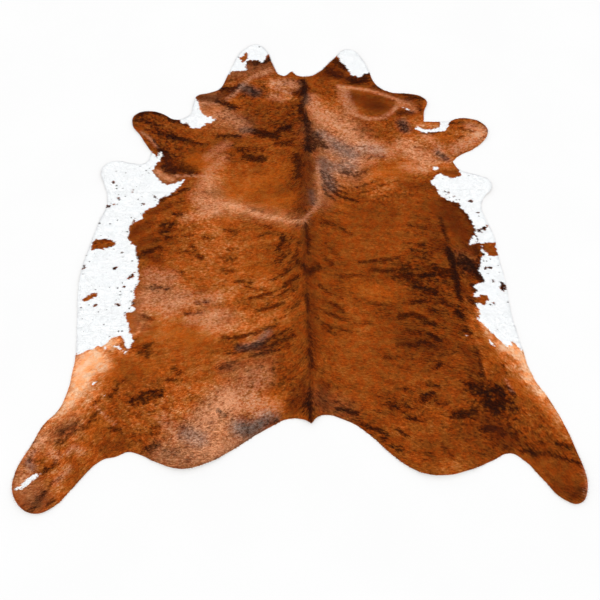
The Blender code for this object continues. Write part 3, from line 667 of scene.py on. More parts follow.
# The shades of the coat and where each stands from the darkest, 0, to the lightest, 1
SHADES = {
    "near_black": 0.0,
    "dark_brown": 0.135,
    "red_brown": 0.28,
    "brown": 0.42,
    "orange_brown": 0.565,
    "light_brown": 0.71,
    "fawn": 0.85,
    "cream": 1.0,
}


# -------- Sizes and colours that a user would change


def length(name, value, description):
    """A size property, in metres."""
    return FloatProperty(
        name=name, description=description, default=value, min=0.0, unit="LENGTH", precision=4
    )


def strength(name, value, description):
    """The strength of a light."""
    return FloatProperty(name=name, description=description, default=value, min=0.0)


def angle(name, degrees, description):
    """An angle property."""
    return FloatProperty(
        name=name, description=description, default=math.radians(degrees), subtype="ANGLE"
    )


def colour(name, value, description):
    """A colour property, in linear light."""
    limits = {"size": 3, "min": 0.0, "max": 1.0}
    return FloatVectorProperty(
        name=name, description=description, default=value, subtype="COLOR", **limits
    )


class SkinSizes(bpy.types.PropertyGroup):
    """The dressed skin."""

    thickness: length("Thickness", 0.0025, "Thickness of the dressed skin without its hair")
    edge_step: length("Edge step", 0.008, "Between two points along the cut edge")
    brown_pitch: length("Pitch in brown", 0.0088, "Between points of the skin under brown hair")
    white_pitch: length("Pitch in white", 0.0058, "Between points of the skin under white hair")
    under_pitch: length("Pitch below", 0.017, "Between points of the underside")
    cut_wander: length("Cut wander", 0.0015, "How far the knife strayed from a smooth edge")
    ripple: length("Ripple", 0.0008, "Height of the broad unevenness of the skin")
    ripple_length: length("Ripple length", 0.085, "From one rise of the unevenness to the next")


class HairSizes(bpy.types.PropertyGroup):
    """The locks of the coat."""

    spacing: length("Spacing", 0.0032, "Least distance between the roots of two locks")
    lock_length: length("Lock length", 0.012, "Length of a lock of hair")
    lock_width: length("Lock width", 0.002, "Width of a lock at its root")
    lift: length("Lift", 0.001, "How far the middle of a lock lies above the skin")
    lie: angle("Lie", 8.0, "How steeply a lock stands off the skin")
    lie_spread: angle("Lie spread", 4.0, "How much that differs from lock to lock")
    tuft_turn: angle("Tuft turn", 11.0, "How far neighbouring locks turn aside together")
    lock_turn: angle("Lock turn", 13.0, "How far a single lock turns aside")
    tuft_length: length("Tuft size", 0.035, "From one tuft to the next")
    seed: IntProperty(name="Seed", description="Sets the scatter of the locks", default=SEED)


class CoatColours(bpy.types.PropertyGroup):
    """The colours of the coat and of the skin below."""

    near_black: colour("Near black", (0.021, 0.0048, 0.0022), "The darkest streaks")
    dark_brown: colour("Dark brown", (0.056, 0.0093, 0.0008), "Dark streaks")
    red_brown: colour("Red brown", (0.126, 0.0225, 0.0016), "Hair between the streaks")
    brown: colour("Brown", (0.222, 0.045, 0.0035), "The darker coat")
    orange_brown: colour("Orange brown", (0.36, 0.073, 0.005), "Most of the coat")
    light_brown: colour("Light brown", (0.535, 0.137, 0.017), "The lighter coat")
    fawn: colour("Fawn", (0.75, 0.262, 0.076), "Light hair on the thighs")
    cream: colour("Cream", (0.98, 0.55, 0.27), "The lightest brown hair")
    orange: colour("Orange", (0.58, 0.125, 0.006), "Bright orange hair")
    mahogany: colour("Mahogany", (0.17, 0.026, 0.003), "Deep red hair")
    # Pinkish pale hair, and the painted sheen along the crests of the folds
    pale_and_sheen: colour("Pale", (0.6, 0.285, 0.166), "Worn pinkish hair along the folds")
    white: colour("White", (0.955, 0.965, 0.97), "White hair of the belly")
    smoke: colour("Smoke", (0.12, 0.11, 0.11), "The palest specks in the white")
    suede: colour("Suede", (0.7, 0.63, 0.54), "The underside and the cut edge")


class StudioSizes(bpy.types.PropertyGroup):
    """Floor, camera and light."""

    floor_side: length("Floor side", 16.0, "Side of the square floor")
    camera_height: length("Camera height", 2.36, "Height of the lens above the floor")
    camera_back: length("Camera distance", 1.70, "From the middle of the rug back to the lens")
    camera_tilt: angle("Camera tilt", 30.0, "Turn of the camera up from looking straight down")
    view_width: angle("View width", 48.13, "What the camera takes in from side to side")
    key_strength: strength("Key light", 1.3, "Strength of the soft light above")
    key_softness: angle("Key softness", 45.0, "How wide the soft light above looks from the rug")
    daylight: strength("Daylight", 1.0, "Strength of the light from all round")


# -------- Lines, humps and distances, for arrays of places


def hump(share):
    """A smooth rise: 1 in the middle, and 0 from a share of 1 on."""
    return 0.5 + 0.5 * np.cos(np.pi * np.clip(share, 0.0, 1.0))


def ease(value, low, high):
    """0 below low and 1 above high, with a smooth change between them."""
    share = np.clip((value - low) / (high - low), 0.0, 1.0)
    return share * share * (3.0 - 2.0 * share)


def smooth_line(points, step, closed=False):
    """Points about a step apart on the smooth curve through the given points."""
    points = np.asarray(points, float)
    count = len(points)
    line = []
    for i in range(count if closed else count - 1):
        start, end = points[i], points[(i + 1) % count]
        before = points[i - 1] if closed or i else 2 * start - end
        after = points[(i + 2) % count] if closed or i + 2 < count else 2 * end - start
        steps = max(1, round(float(np.linalg.norm(end - start)) / step))
        t = (np.arange(steps) / steps)[:, None]
        bend = 2 * before - 5 * start + 4 * end - after
        twist = 3 * start - before - 3 * end + after
        line.append(start + 0.5 * ((end - before) * t + bend * t**2 + twist * t**3))
    if not closed:
        line.append(points[-1:])
    return np.concatenate(line)


def from_line(x, y, line):
    """Distance of each place from a line of straight pieces."""
    best = np.full(x.shape, np.inf)
    for (ax, ay), (bx, by) in zip(line[:-1], line[1:]):
        dx, dy = bx - ax, by - ay
        share = ((x - ax) * dx + (y - ay) * dy) / max(dx * dx + dy * dy, TINY)
        share = np.clip(share, 0.0, 1.0)
        np.minimum(best, (x - ax - share * dx) ** 2 + (y - ay - share * dy) ** 2, out=best)
    return np.sqrt(best)


def inside_ring(x, y, ring):
    """True for each place inside the ring."""
    within = np.zeros(x.shape, bool)
    for (ax, ay), (bx, by) in zip(ring, np.roll(ring, -1, axis=0)):
        if ay != by:
            crossed = (ay > y) != (by > y)
            within ^= crossed & (x < ax + (y - ay) * (bx - ax) / (by - ay))
    return within


def outwards(ring):
    """The way straight out from each point of an anticlockwise ring."""
    way = np.roll(ring, -1, axis=0) - np.roll(ring, 1, axis=0)
    out = np.column_stack((way[:, 1], -way[:, 0]))
    return out / np.linalg.norm(out, axis=1)[:, None]


def close_to(x, y, line, reach):
    """True for each place in the line's box, widened by the reach."""
    line = np.asarray(line, float)
    low, high = line.min(0) - reach, line.max(0) + reach
    return (x > low[0]) & (x < high[0]) & (y > low[1]) & (y < high[1])


# -------- From the photograph's pixels down onto the floor

PHOTO_MIDDLE = 300.0  # pixels, across and down, of a photograph of 600 × 600
PHOTO_FOCUS = 672.0  # pixels
PHOTO_PITCH = math.radians(60.0)  # how far the camera looks down from level
PHOTO_HEIGHT = 2360.0  # mm from the floor up to the camera
PHOTO_BACK = 1700.0  # mm from the middle of the rug back to the camera
RING_ROUNDING = 1  # mm
PATH_ROUNDING = 5
STROKE_REACH = 1.7  # how far a stroke fades out, as a share of the width it was given


def on_floor(across, down):
    """The place on the floor, in mm, that the photograph shows at a pixel."""
    slope = math.tan(PHOTO_PITCH)
    below = down - PHOTO_MIDDLE
    depth = PHOTO_FOCUS * slope + below
    pixels = math.cos(PHOTO_PITCH) * depth / PHOTO_HEIGHT
    ahead = PHOTO_HEIGHT * (PHOTO_FOCUS - below * slope) / depth
    return (across - PHOTO_MIDDLE) / pixels, ahead - PHOTO_BACK


def pixel_size(across, down):
    """How far a pixel goes on the floor there, in mm, sideways and along."""
    left, right = on_floor(across - 1, down)[0], on_floor(across + 1, down)[0]
    far, near = on_floor(across, down - 1)[1], on_floor(across, down + 1)[1]
    return (right - left) / 2, (far - near) / 2


def path_on_floor(path, rounding):
    """A path or ring of pixels as places on the floor."""
    return [tuple(rounding * round(v / rounding) for v in on_floor(*place)) for place in path]


@cache
def tone_on_floor(name):
    """The strokes of a tone on the floor: how strong, how far each reaches in mm, and its path."""
    strokes = []
    for amount, reach, *path in TONES[name]:
        if name in WASHES:
            wide, deep = pixel_size(*path[0])
            reach = PATH_ROUNDING * round(reach * math.sqrt(wide * deep) / PATH_ROUNDING)
        else:
            wide, deep = pixel_size(*path[len(path) // 2])
            reach = round(reach * STROKE_REACH * ((wide + deep) / 2))
        strokes.append((amount, reach, path_on_floor(path, PATH_ROUNDING)))
    return strokes


@cache
def spot_on_floor(across, down, long, wide, degrees):
    """An oval spot on the floor: its middle, its longer and shorter sizes, and its turn."""
    x_size, y_size = pixel_size(across, down)
    turn = math.radians(degrees)
    lengthwise = (x_size * math.cos(turn), y_size * math.sin(turn))
    crosswise = (x_size * math.sin(turn), y_size * math.cos(turn))
    sizes = round(long * math.hypot(*lengthwise)), round(wide * math.hypot(*crosswise))
    turn = round(math.degrees(math.atan2(lengthwise[1], lengthwise[0])))
    return *path_on_floor([(across, down)], RING_ROUNDING)[0], *sizes, math.radians(turn)


# -------- The coat's fields. Places come in as arrays in mm.

PATCH_STEP = 6.0
RIM = 4.0  # how far in from the cut edge the hair is shaded
RIM_RUN = 8  # points of the cut edge taken at a time
PAST_EDGE = 16.0  # as far as a lock reaches past the cut edge
BROWN_MARGIN = 90.0  # how far into the brown hair the depth of the white is still worked out
SPINE_BLEND = 22.0  # from the spine, where the hair still points straight to the tail
COMB_STEP = 1.0
SPOT_DARKNESS = 1.7
SPOT_EDGE = 4.0
SPECKS_INSIDE = 0.2  # the share of the specks that is left far from the brown hair
SPECKS_FADE = 26.0


def spot_depth(x, y, spot):
    """How deep each place lies inside an oval spot, less than zero outside it."""
    spot_x, spot_y, long, wide, turn = spot_on_floor(*spot)
    dx, dy = x - spot_x, y - spot_y
    along = dx * math.cos(turn) + dy * math.sin(turn)
    across = dy * math.cos(turn) - dx * math.sin(turn)
    out = np.hypot(along / (0.5 * long), across / (0.5 * wide))
    return (1.0 - out) * 0.5 * min(long, wide)


def ring_depth(x, y, ring):
    """How deep each place lies inside a ring of pixels, less than zero outside it."""
    depth = np.full(x.shape, -FAR)
    ring = smooth_line(path_on_floor(ring, RING_ROUNDING), PATCH_STEP, closed=True)
    near = close_to(x, y, ring, BROWN_MARGIN)
    across, along = x[near], y[near]
    off = from_line(across, along, np.vstack((ring, ring[:1])))
    depth[near] = np.where(inside_ring(across, along, ring), off, -off)
    return depth


def brown_marks(x, y):
    """For each brown spot and island: how deep each place lies in it, and how dark it is."""
    for *spot, dark in BROWN_SPOTS:
        yield spot_depth(x, y, spot), dark
    for dark, *ring in BROWN_ISLANDS:
        yield ring_depth(x, y, ring), dark


def white_depth(x, y):
    """How deep each place lies in white hair, less than zero in brown, and the share of specks."""
    depth = np.full(x.shape, -FAR)
    specks = np.zeros(x.shape)
    for share, *ring in WHITE_PATCHES:
        deep = ring_depth(x, y, ring)
        specks = np.where(deep > depth, share, specks)
        depth = np.maximum(depth, deep)
    for fleck in WHITE_FLECKS:
        depth = np.maximum(depth, spot_depth(x, y, fleck))
    for deep, _ in brown_marks(x, y):
        depth = np.minimum(depth, -deep)
    return depth, specks


def tone(x, y, name):
    """How strong a tone is at each place: its strokes laid over each other."""
    left = np.ones(x.shape)
    for amount, reach, path in tone_on_floor(name):
        near = close_to(x, y, path, reach)
        if near.any():
            off = from_line(x[near], y[near], path)
            left[near] *= 1.0 - np.minimum(amount * hump(off / reach), 1.0)
    return 1.0 - left


def painted_rim_shade(x, y):
    """How much painted shade each place gets by the cut edge: 1 on it or past it, and 0 from the rim
    inwards.
    """
    edge = cut_edge()[0][:, :2] / MM
    off = np.full(x.shape, FAR)
    for start in range(0, len(edge), RIM_RUN):
        run = edge[np.arange(start, start + RIM_RUN + 1) % len(edge)]
        near = close_to(x, y, run, PAST_EDGE)
        off[near] = np.minimum(off[near], from_line(x[near], y[near], run))
    near = off < FAR
    off[near] *= inside_ring(x[near], y[near], edge)
    return np.clip(1.0 - off / RIM, 0.0, 1.0)


def off_spine(x, y):
    """Signed distance of each place from the spine, more than zero on the right."""
    spine = np.array(SPINE[::-1], float)
    return x - np.interp(y, spine[:, 1], spine[:, 0])


def streak_place(x, y):
    """Where each place lies along and across the lie of the hair."""
    side = off_spine(x, y)
    out = np.abs(side)
    left, right = (np.interp(y, SLANT_PLACES, s.drops) for s in (LEFT_SLANT, RIGHT_SLANT))
    reach = np.where(side < 0, LEFT_SLANT.reach, RIGHT_SLANT.reach)
    drop = np.where(side < 0, left, right) * (1.0 - np.exp(-out / reach))
    across = y + drop
    for turn in TURNS:
        dx, dy = x - turn.across, y - turn.along
        across = across + turn.slope * dx / (1.0 + (dx * dx + dy * dy) / turn.reach**2)
    return out + 0.5 * drop, across


def comb(x, y):
    """The way the hair lies at each place, level with the floor and of length 1."""
    step = COMB_STEP
    rise_x = streak_place(x + step, y)[1] - streak_place(x - step, y)[1]
    rise_y = streak_place(x, y + step)[1] - streak_place(x, y - step)[1]
    side = off_spine(x, y)
    way = np.stack((rise_y, -rise_x), -1) * np.sign(side)[:, None]
    way /= np.maximum(np.linalg.norm(way, axis=1), TINY)[:, None]
    settled = ease(np.abs(side), 0.0, SPINE_BLEND)[:, None]
    way = way * settled + np.array(DOWN) * (1.0 - settled)
    way /= np.linalg.norm(way, axis=1)[:, None]
    return np.column_stack((way, np.zeros(len(x))))


def coat_fields(places, tone_places):
    """Every field of the coat at places in metres, by name; its tones from places of their own."""
    x, y = places[:, 0] / MM, places[:, 1] / MM
    tone_x, tone_y = tone_places[:, 0] / MM, tone_places[:, 1] / MM
    depth, specks = white_depth(x, y)
    along, across = streak_place(x, y)
    side = np.where(off_spine(x, y) < 0, -1.0, 1.0)
    fields = {name: tone(tone_x, tone_y, name) for name in TONES}
    for deep, dark in brown_marks(x, y):
        within = ease(deep, -SPOT_EDGE, SPOT_EDGE)
        fields["dark"] = np.maximum(fields["dark"], SPOT_DARKNESS * dark * within)
    fields["white"] = depth * MM
    fade = np.exp(-np.maximum(depth, 0.0) / SPECKS_FADE)
    fields["specks"] = specks * (SPECKS_INSIDE + (1.0 - SPECKS_INSIDE) * fade)
    fields["stream"] = np.column_stack((along * MM, across * MM, side))
    return fields


def store(mesh, name, values):
    """Keeps one value or vector for each point of the mesh under that name."""
    values = np.asarray(values, np.float32)
    kind, key = ("FLOAT", "value") if values.ndim == 1 else ("FLOAT_VECTOR", "vector")
    layer = mesh.attributes.get(name) or mesh.attributes.new(name, kind, "POINT")
    layer.data.foreach_set(key, values.ravel())


def read(items, name, width=1, kind=np.float32):
    """One thing about each of a mesh's points, corners or faces, as an array."""
    values = np.empty(len(items) * width, kind)
    items.foreach_get(name, values)
    return values.reshape(-1, width) if width > 1 else values


def point_array(mesh):
    """The mesh's points as an array."""
    return read(mesh.vertices, "co", 3).astype(float)


def set_map(mesh, flat):
    """Lays the corners of the mesh's faces out on the bake map."""
    layer = mesh.uv_layers.new(name=BAKE_MAP)
    layer.uv.foreach_set("vector", flat.astype(np.float32).ravel())


# -------- The skin

RAY_START = -0.05
RAY_REACH = 0.2
FLOOR_CLEARANCE = 0.0003
RISE_SMOOTHING = 8  # rounds
EDGE_CLEARANCE = 0.62  # of the pitch, between the cut edge and the next point
JITTER = 0.16  # of the pitch
UNDER_NORMAL = -0.3
SHARP_EDGE = math.radians(60)
SAME_POINT = 1e-5
SAME_FLAT_POINT = 1e-7
LONG_WAVES = 22.0  # to the metre, in the cut edge
SHORT_WAVES = 75.0
SHORT_SHARE = 0.4
WHITE_MARGIN = 10.0  # mm of brown hair with points as close as under the white
CREASE_FADE = 1.6  # of its reach, along which a crease runs out at its ends
MAP_FILL = 0.985
MAP_MARGIN = 0.005
MAP_GAP = 0.01


def underside(node):
    """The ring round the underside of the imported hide, anticlockwise, and its surface."""
    shell = bmesh.new()
    shell.from_mesh(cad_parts[node].data)
    bmesh.ops.remove_doubles(shell, verts=shell.verts, dist=SAME_POINT)
    shell.normal_update()
    surface = BVHTree.FromBMesh(shell)
    after = {}
    for face in shell.faces:
        if face.normal.z < UNDER_NORMAL:
            for loop in face.loops:
                if loop.link_loop_radial_next.face.normal.z >= UNDER_NORMAL:
                    after[loop.vert] = loop.link_loop_next.vert
    start = vert = next(iter(after))
    ring = []
    while not ring or vert is not start:
        ring.append(tuple(vert.co))
        vert = after[vert]
    if len(ring) != len(after):
        raise RuntimeError("the underside of the hide has more than one edge")
    shell.free()
    return np.array(ring[::-1]), surface


def even_ring(ring, step):
    """The ring again, with its points an even step apart."""
    line = smooth_line(ring, step / 4, closed=True)
    line = np.vstack((line, line[:1]))
    run = np.concatenate(([0.0], np.cumsum(np.linalg.norm(np.diff(line[:, :2], axis=0), axis=1))))
    stops = np.linspace(0.0, run[-1], round(run[-1] / step), endpoint=False)
    return np.column_stack([np.interp(stops, run, line[:, k]) for k in range(3)])


def wander(ring, amount):
    """The ring, strayed in and out a little, as a knife leaves it."""
    long_waves = [noise.noise(Vector(p) * LONG_WAVES) for p in ring]
    short_waves = [noise.noise(Vector(p) * SHORT_WAVES) for p in ring]
    stray = amount * (np.array(long_waves) + SHORT_SHARE * np.array(short_waves))
    moved = ring.copy()
    moved[:, :2] += outwards(ring) * stray[:, None]
    return moved


def staggered(ring, pitch, keep=None):
    """Points inside the ring in staggered rows a pitch apart, each a little out of its place."""
    low, high = ring[:, :2].min(0), ring[:, :2].max(0)
    rows = np.arange(low[1], high[1], pitch * math.sqrt(0.75))
    columns = np.arange(low[0], high[0], pitch)
    x, y = np.meshgrid(columns, rows)
    x[1::2] += pitch / 2
    scatter = np.random.default_rng(SEED).uniform(-JITTER, JITTER, (2,) + x.shape) * pitch
    x, y = (x + scatter[0]).ravel(), (y + scatter[1]).ravel()
    chosen = inside_ring(x, y, ring[:, :2])
    if keep is not None:
        chosen[chosen] = keep(x[chosen], y[chosen])
    x, y = x[chosen], y[chosen]
    edge = KDTree(len(ring))
    for i, place in enumerate(ring):
        edge.insert((place[0], place[1], 0.0), i)
    edge.balance()
    clear = [edge.find((a, b, 0.0))[2] > EDGE_CLEARANCE * pitch for a, b in zip(x, y)]
    return np.column_stack((x, y))[np.array(clear)]


def triangles(ring, field):
    """The triangles between the ring's points and those of the field."""
    count = len(ring)
    flat = [Vector(p[:2]) for p in ring] + [Vector(p) for p in field]
    border = [(i, (i + 1) % count) for i in range(count)]
    points, _, faces, *_ = delaunay_2d_cdt(flat, border, [], 1, SAME_FLAT_POINT)
    if len(points) != len(flat):
        raise RuntimeError("the skin's points merged")
    return np.array([tuple(point) for point in points]), faces


def rise_at(surface, x, y):
    """Height of the surface over each place, looking up from below the floor."""
    heights = []
    for a, b in zip(x, y):
        hit = surface.ray_cast(Vector((a, b, RAY_START)), Vector((0, 0, 1)), RAY_REACH)[0]
        if hit is None:
            hit = surface.find_nearest(Vector((a, b, 0.0)))[0]
        heights.append(hit.z)
    return np.array(heights)


def smoothed(heights, faces, rounds):
    """The heights, evened out between neighbours."""
    faces = np.array(faces)
    pairs = np.concatenate((faces[:, [0, 1]], faces[:, [1, 2]], faces[:, [2, 0]]))
    pairs = np.concatenate((pairs, pairs[:, ::-1]))
    share = np.bincount(pairs[:, 0], minlength=len(heights))
    for _ in range(rounds):
        total = np.bincount(pairs[:, 0], weights=heights[pairs[:, 1]], minlength=len(heights))
        heights = 0.5 * heights + 0.5 * total / share
    return heights


def own_relief(x, y, sizes):
    """What the skin's creases and unevenness add to its height."""
    relief = np.zeros(x.shape)
    for height, reach, *path in CREASES:
        path = smooth_line(path, reach) * MM
        near = close_to(x, y, path, reach * MM)
        off = from_line(x[near], y[near], path)
        ends = np.minimum(
            np.hypot(x[near] - path[0, 0], y[near] - path[0, 1]),
            np.hypot(x[near] - path[-1, 0], y[near] - path[-1, 1]),
        )
        fade = ease(ends, 0.0, CREASE_FADE * reach * MM)
        relief[near] += height * MM * hump(off / (reach * MM)) * fade
    waves = [noise.noise(Vector((a, b, 0.0)) / sizes.ripple_length) for a, b in zip(x, y)]
    return relief + sizes.ripple * (0.5 + np.array(waves))


@cache
def cut_edge():
    """The line that the knife took round the hide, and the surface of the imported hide."""
    sizes = bpy.context.scene.rug_skin
    ring, surface = underside(HIDE_NODE)
    return wander(even_ring(ring, sizes.edge_step), sizes.cut_wander), surface


def make_skin(sizes):
    """The skin as one closed sheet, with its top faces first."""
    ring, surface = cut_edge()

    def white(x, y):
        return white_depth(x / MM, y / MM)[0] > -WHITE_MARGIN

    under_brown = staggered(ring, sizes.brown_pitch, lambda x, y: ~white(x, y))
    under_white = staggered(ring, sizes.white_pitch, white)
    flat, top = triangles(ring, np.concatenate((under_brown, under_white)))
    x, y = flat[:, 0], flat[:, 1]
    rise = smoothed(rise_at(surface, x, y), top, RISE_SMOOTHING) + own_relief(x, y, sizes)
    rise = np.maximum(rise, 0.0) + FLOOR_CLEARANCE
    level = BVHTree.FromPolygons(np.column_stack((flat, rise)).tolist(), top)

    flat_under, under = triangles(ring, staggered(ring, sizes.under_pitch))
    count = len(ring)
    rise_under = rise_at(level, flat_under[:, 0], flat_under[:, 1])
    rise_under[:count] = rise[:count]

    upper = np.column_stack((flat, rise + sizes.thickness))
    lower = np.column_stack((flat_under, rise_under))
    base = len(upper)
    faces = [tuple(f) for f in top]
    for i in range(count):
        j = (i + 1) % count
        faces.append((i, base + i, base + j, j))
    faces += [tuple(base + k for k in reversed(f)) for f in under]
    mesh = bpy.data.meshes.new("skin")
    mesh.from_pydata(np.vstack((upper, lower)).tolist(), [], faces)
    return mesh, ring, base, len(top)


TOP_SHARE = 0.85  # of the bake map's width, for the hair side; the rest is the underside's
RIM_WIDTH = 0.0035  # m, the width that the cut edge is given on the map


def map_skin(mesh, ring, upper_count, top_count):
    """The hair side, the cut edge and the underside, each flat on the bake map."""
    low, high = ring[:, :2].min(0), ring[:, :2].max(0)
    scale = MAP_FILL * min(TOP_SHARE / (high[0] - low[0]), 1.0 / (high[1] - low[1]))
    places = point_array(mesh)[:, :2]
    corners = read(mesh.loops, "vertex_index", kind=int)
    flat = MAP_MARGIN + (places[corners] - low) * scale
    first = read(mesh.polygons, "loop_start", kind=int)
    rim_start, under_start = first[top_count], first[top_count + len(ring)]
    narrow = (1.0 - TOP_SHARE - 2 * MAP_GAP) / (high[0] - low[0])
    below = places[corners[under_start:]] - low
    flat[under_start:] = (TOP_SHARE + MAP_GAP, MAP_MARGIN) + below * (narrow, scale)
    rim = corners[rim_start:under_start]
    lower = rim >= upper_count
    out = outwards(ring)[rim[lower] - upper_count]
    flat[rim_start:under_start][lower] += out * RIM_WIDTH * scale
    set_map(mesh, flat)


# -------- Materials

NODES_IN_ROW = 12
NODE_WIDTH = 190
NODE_HEIGHT = 260
START = (0.0, 0.0, 0.0)  # where noise starts that has no place of its own


class Wiring:
    """Adds nodes to a tree and wires them up, so that a material reads as a formula."""

    def __init__(self, tree):
        self.tree = tree

    def give(self, node, inputs):
        """Sets a node's inputs, or wires them, by name or number."""
        for key, value in dict(inputs).items():
            if isinstance(value, bpy.types.NodeSocket):
                self.tree.links.new(value, node.inputs[key])
            else:
                node.inputs[key].default_value = value

    def add(self, kind, inputs=(), **settings):
        """A new node with its settings and its inputs."""
        node = self.tree.nodes.new(kind)
        row, column = divmod(len(self.tree.nodes), NODES_IN_ROW)
        node.location = (NODE_WIDTH * column, -NODE_HEIGHT * row)
        for key, value in settings.items():
            setattr(node, key, value)
        self.give(node, inputs)
        return node

    def field(self, name):
        """One of the coat's fields, as kept on the mesh."""
        return self.add("ShaderNodeAttribute", attribute_name=name)

    def share(self, name):
        """A field that is a number."""
        return self.field(name).outputs["Fac"]

    def place(self, name="place"):
        """A field that is a place."""
        return self.field(name).outputs["Vector"]

    def maths(self, operation, a, b=0.0, c=0.0):
        """A sum on numbers."""
        return self.add("ShaderNodeMath", {0: a, 1: b, 2: c}, operation=operation).outputs[0]

    def times(self, a, b):
        """One number times another."""
        return self.maths("MULTIPLY", a, b)

    def scaled(self, value, by, onto):
        """One number times another, added to a third."""
        return self.maths("MULTIPLY_ADD", value, by, onto)

    def ease(self, value, low, high, start=0.0, end=1.0):
        """A smooth change from start to end as the value goes from low to high."""
        inputs = {"Value": value, "From Min": low, "From Max": high, "To Min": start, "To Max": end}
        node = self.add("ShaderNodeMapRange", inputs, interpolation_type="SMOOTHSTEP")
        return node.outputs["Result"]

    def mix(self, share, a, b, blend="MIX"):
        """One colour going over into another."""
        inputs = {0: share, 6: a, 7: b}
        node = self.add("ShaderNodeMix", inputs, data_type="RGBA", blend_type=blend)
        return node.outputs[2]

    def tinted(self, colour_now, tint):
        """One colour times another."""
        return self.mix(1.0, colour_now, tint, "MULTIPLY")

    def rgb(self, red, green, blue):
        """A colour from three numbers."""
        inputs = {0: red, 1: green, 2: blue}
        return self.add("ShaderNodeCombineColor", inputs).outputs["Color"]

    def grey(self, shade):
        """A number as a colour."""
        return self.rgb(shade, shade, shade)

    def stretched(self, place, sizes, start=START):
        """A place divided by sizes in metres, so that noise of scale 1 has those sizes."""
        scale = tuple(1.0 / size for size in sizes)
        inputs = {"Vector": place, "Scale": scale, "Location": start}
        return self.add("ShaderNodeMapping", inputs, vector_type="POINT").outputs["Vector"]

    def noise(self, place, detail=2.0, roughness=0.5):
        """Noise about one unit wide."""
        inputs = {"Vector": place, "Scale": 1.0, "Detail": detail, "Roughness": roughness}
        return self.add("ShaderNodeTexNoise", inputs).outputs["Fac"]

    def grain(self, place, kind):
        """Noise of the kind, with its own sizes and start."""
        return self.noise(self.stretched(place, kind.sizes, kind.start), kind.detail, kind.roughness)

    def bump(self, height, distance, amount):
        """The normal of a surface with low relief."""
        inputs = {"Height": height, "Distance": distance, "Strength": amount}
        return self.add("ShaderNodeBump", inputs).outputs["Normal"]


def new_material(name):
    """A material with its shader, wired to its output."""
    material = bpy.data.materials.new(name)
    material.use_nodes = True
    material.node_tree.nodes.clear()
    wiring = Wiring(material.node_tree)
    shader = wiring.add("ShaderNodeBsdfPrincipled")
    wiring.add("ShaderNodeOutputMaterial", {"Surface": shader.outputs["BSDF"]})
    return material, wiring, shader


def solid(rgb):
    """A colour with its fourth channel."""
    return (*rgb, 1.0)


def even(size):
    """The same size every way."""
    return (size, size, size)


NOISE_RANGE = (0.2, 0.8)  # what noise goes between at the most
NOISE_MIDDLE = (0.34, 0.66)  # and what it goes between in most places
SIDE_SHIFT = 1.0 / 7.3  # sets the noise of the left side apart from that of the right

# The coat's noises. Sizes are in metres, along and across the lie of the hair, or the same every
# way, and most of the noises start at a place of their own.
Grain = namedtuple("Grain", "sizes start detail roughness")
BANDS = Grain((0.13, 0.032, SIDE_SHIFT), (8.0, 5.0, 0.0), 2.0, 0.5)
STREAKS = Grain((0.018, 0.0058, SIDE_SHIFT), (3.0, 1.0, 0.0), 2.0, 0.65)
TUFTS = Grain((0.01, 0.005, SIDE_SHIFT), (1.0, 6.0, 0.0), 2.0, 0.6)
BLOTCHES = Grain(even(0.055), (2.0, 9.0, 4.0), 3.0, 0.6)
MOTTLE = Grain(even(0.0065), (5.0, 3.0, 1.0), 2.0, 0.6)
CLUMPS = Grain(even(0.014), (1.0, 4.0, 6.0), 3.0, 0.65)
CAST = Grain(even(0.03), (9.0, 2.0, 8.0), 3.0, 0.6)
SMALL_RAGS = Grain(even(0.012), (7.0, 2.0, 3.0), 2.0, 0.5)
LARGE_RAGS = Grain(even(0.022), (7.0, 2.0, 3.0), 2.0, 0.5)
SWAY_SIZE = 0.11
SWAY = 0.012  # how far the streaks swing aside

# What makes the plain hair lighter or darker, as shares of the way from near black to cream. Of
# two numbers, the second is what is added where the coat is rough.
PLAIN_COAT = 0.57
BANDS_LIGHT = 0.028
BLOTCHES_LIGHT = 0.03
TUFTS_LIGHT = (0.05, -0.03)
STRANDS_LIGHT = (0.045, 0.015)
MOTTLE_LIGHT = (0.07, 0.065)
LOCKS_LIGHT = (0.13, 0.08)
BRINDLE_LIGHT = -0.28
CLUMPED = (0.25, 0.75)  # how much the strands lie in clumps instead of streaks
SMOOTHED = 0.75  # how much of the grain and brindle goes where the hair lies smooth
LOCKS_POWER = 2.0  # few locks are light, and most are dark
LOCKS_MEAN = 0.333

# What brings dark brindle out, and between which sums of it the brindle grows
STRANDS_BRINDLE = -0.55
BANDS_BRINDLE = -0.1
DEEP_BRINDLE = 0.42
BRINDLE_RANGE = (0.15, 1.0)

# Hues. The cast of the hair goes from greyer to redder, as shares of its colour.
GREYER = (0.95, 1.14, 1.5)
REDDER = (1.03, 0.87, 0.72)
STRANDS_HUE = 0.6
HUE_RANGE = (-1.0, 0.9)
FADED_RANGE = (-1.0, 0.6)
FADED_SHARES = (0.5, 0.95)
PARTING_AND_CREASE_SHADE_SHARE = 0.9

# The white hair, its ragged border in metres, and its specks
MOTTLE_RAGGED = 0.0015
RAGGED = 0.003
WHITE_BORDER = (-0.0008, 0.0012)
SPECK_CELL = 0.015
SPECK_CHANCE = 0.6
SPECK_SIZES = (0.08, 0.18)  # of a cell: the least, and what is added by chance
# Painted shade on the white hair: between its tufts, and a soft bluish shade in blotches like that
# of shallow folds
WHITE_SHADE = (0.982, 0.984, 0.987)  # between tufts of white hair
WHITE_BLOTCH_SHADE = (0.985, 0.99, 0.992)  # in its soft hollows
BLOTCH_SHADE_RANGE = (-1.0, 0.3)

# Painted shade along the cut edge: what is left of the colour there, and the least that it is shaded
BROWN_RIM_SHADE = (0.72, 0.7, 0.75)
WHITE_RIM_SHADE = (0.6, 0.6, 0.62)
RIM_LEAST = 0.5


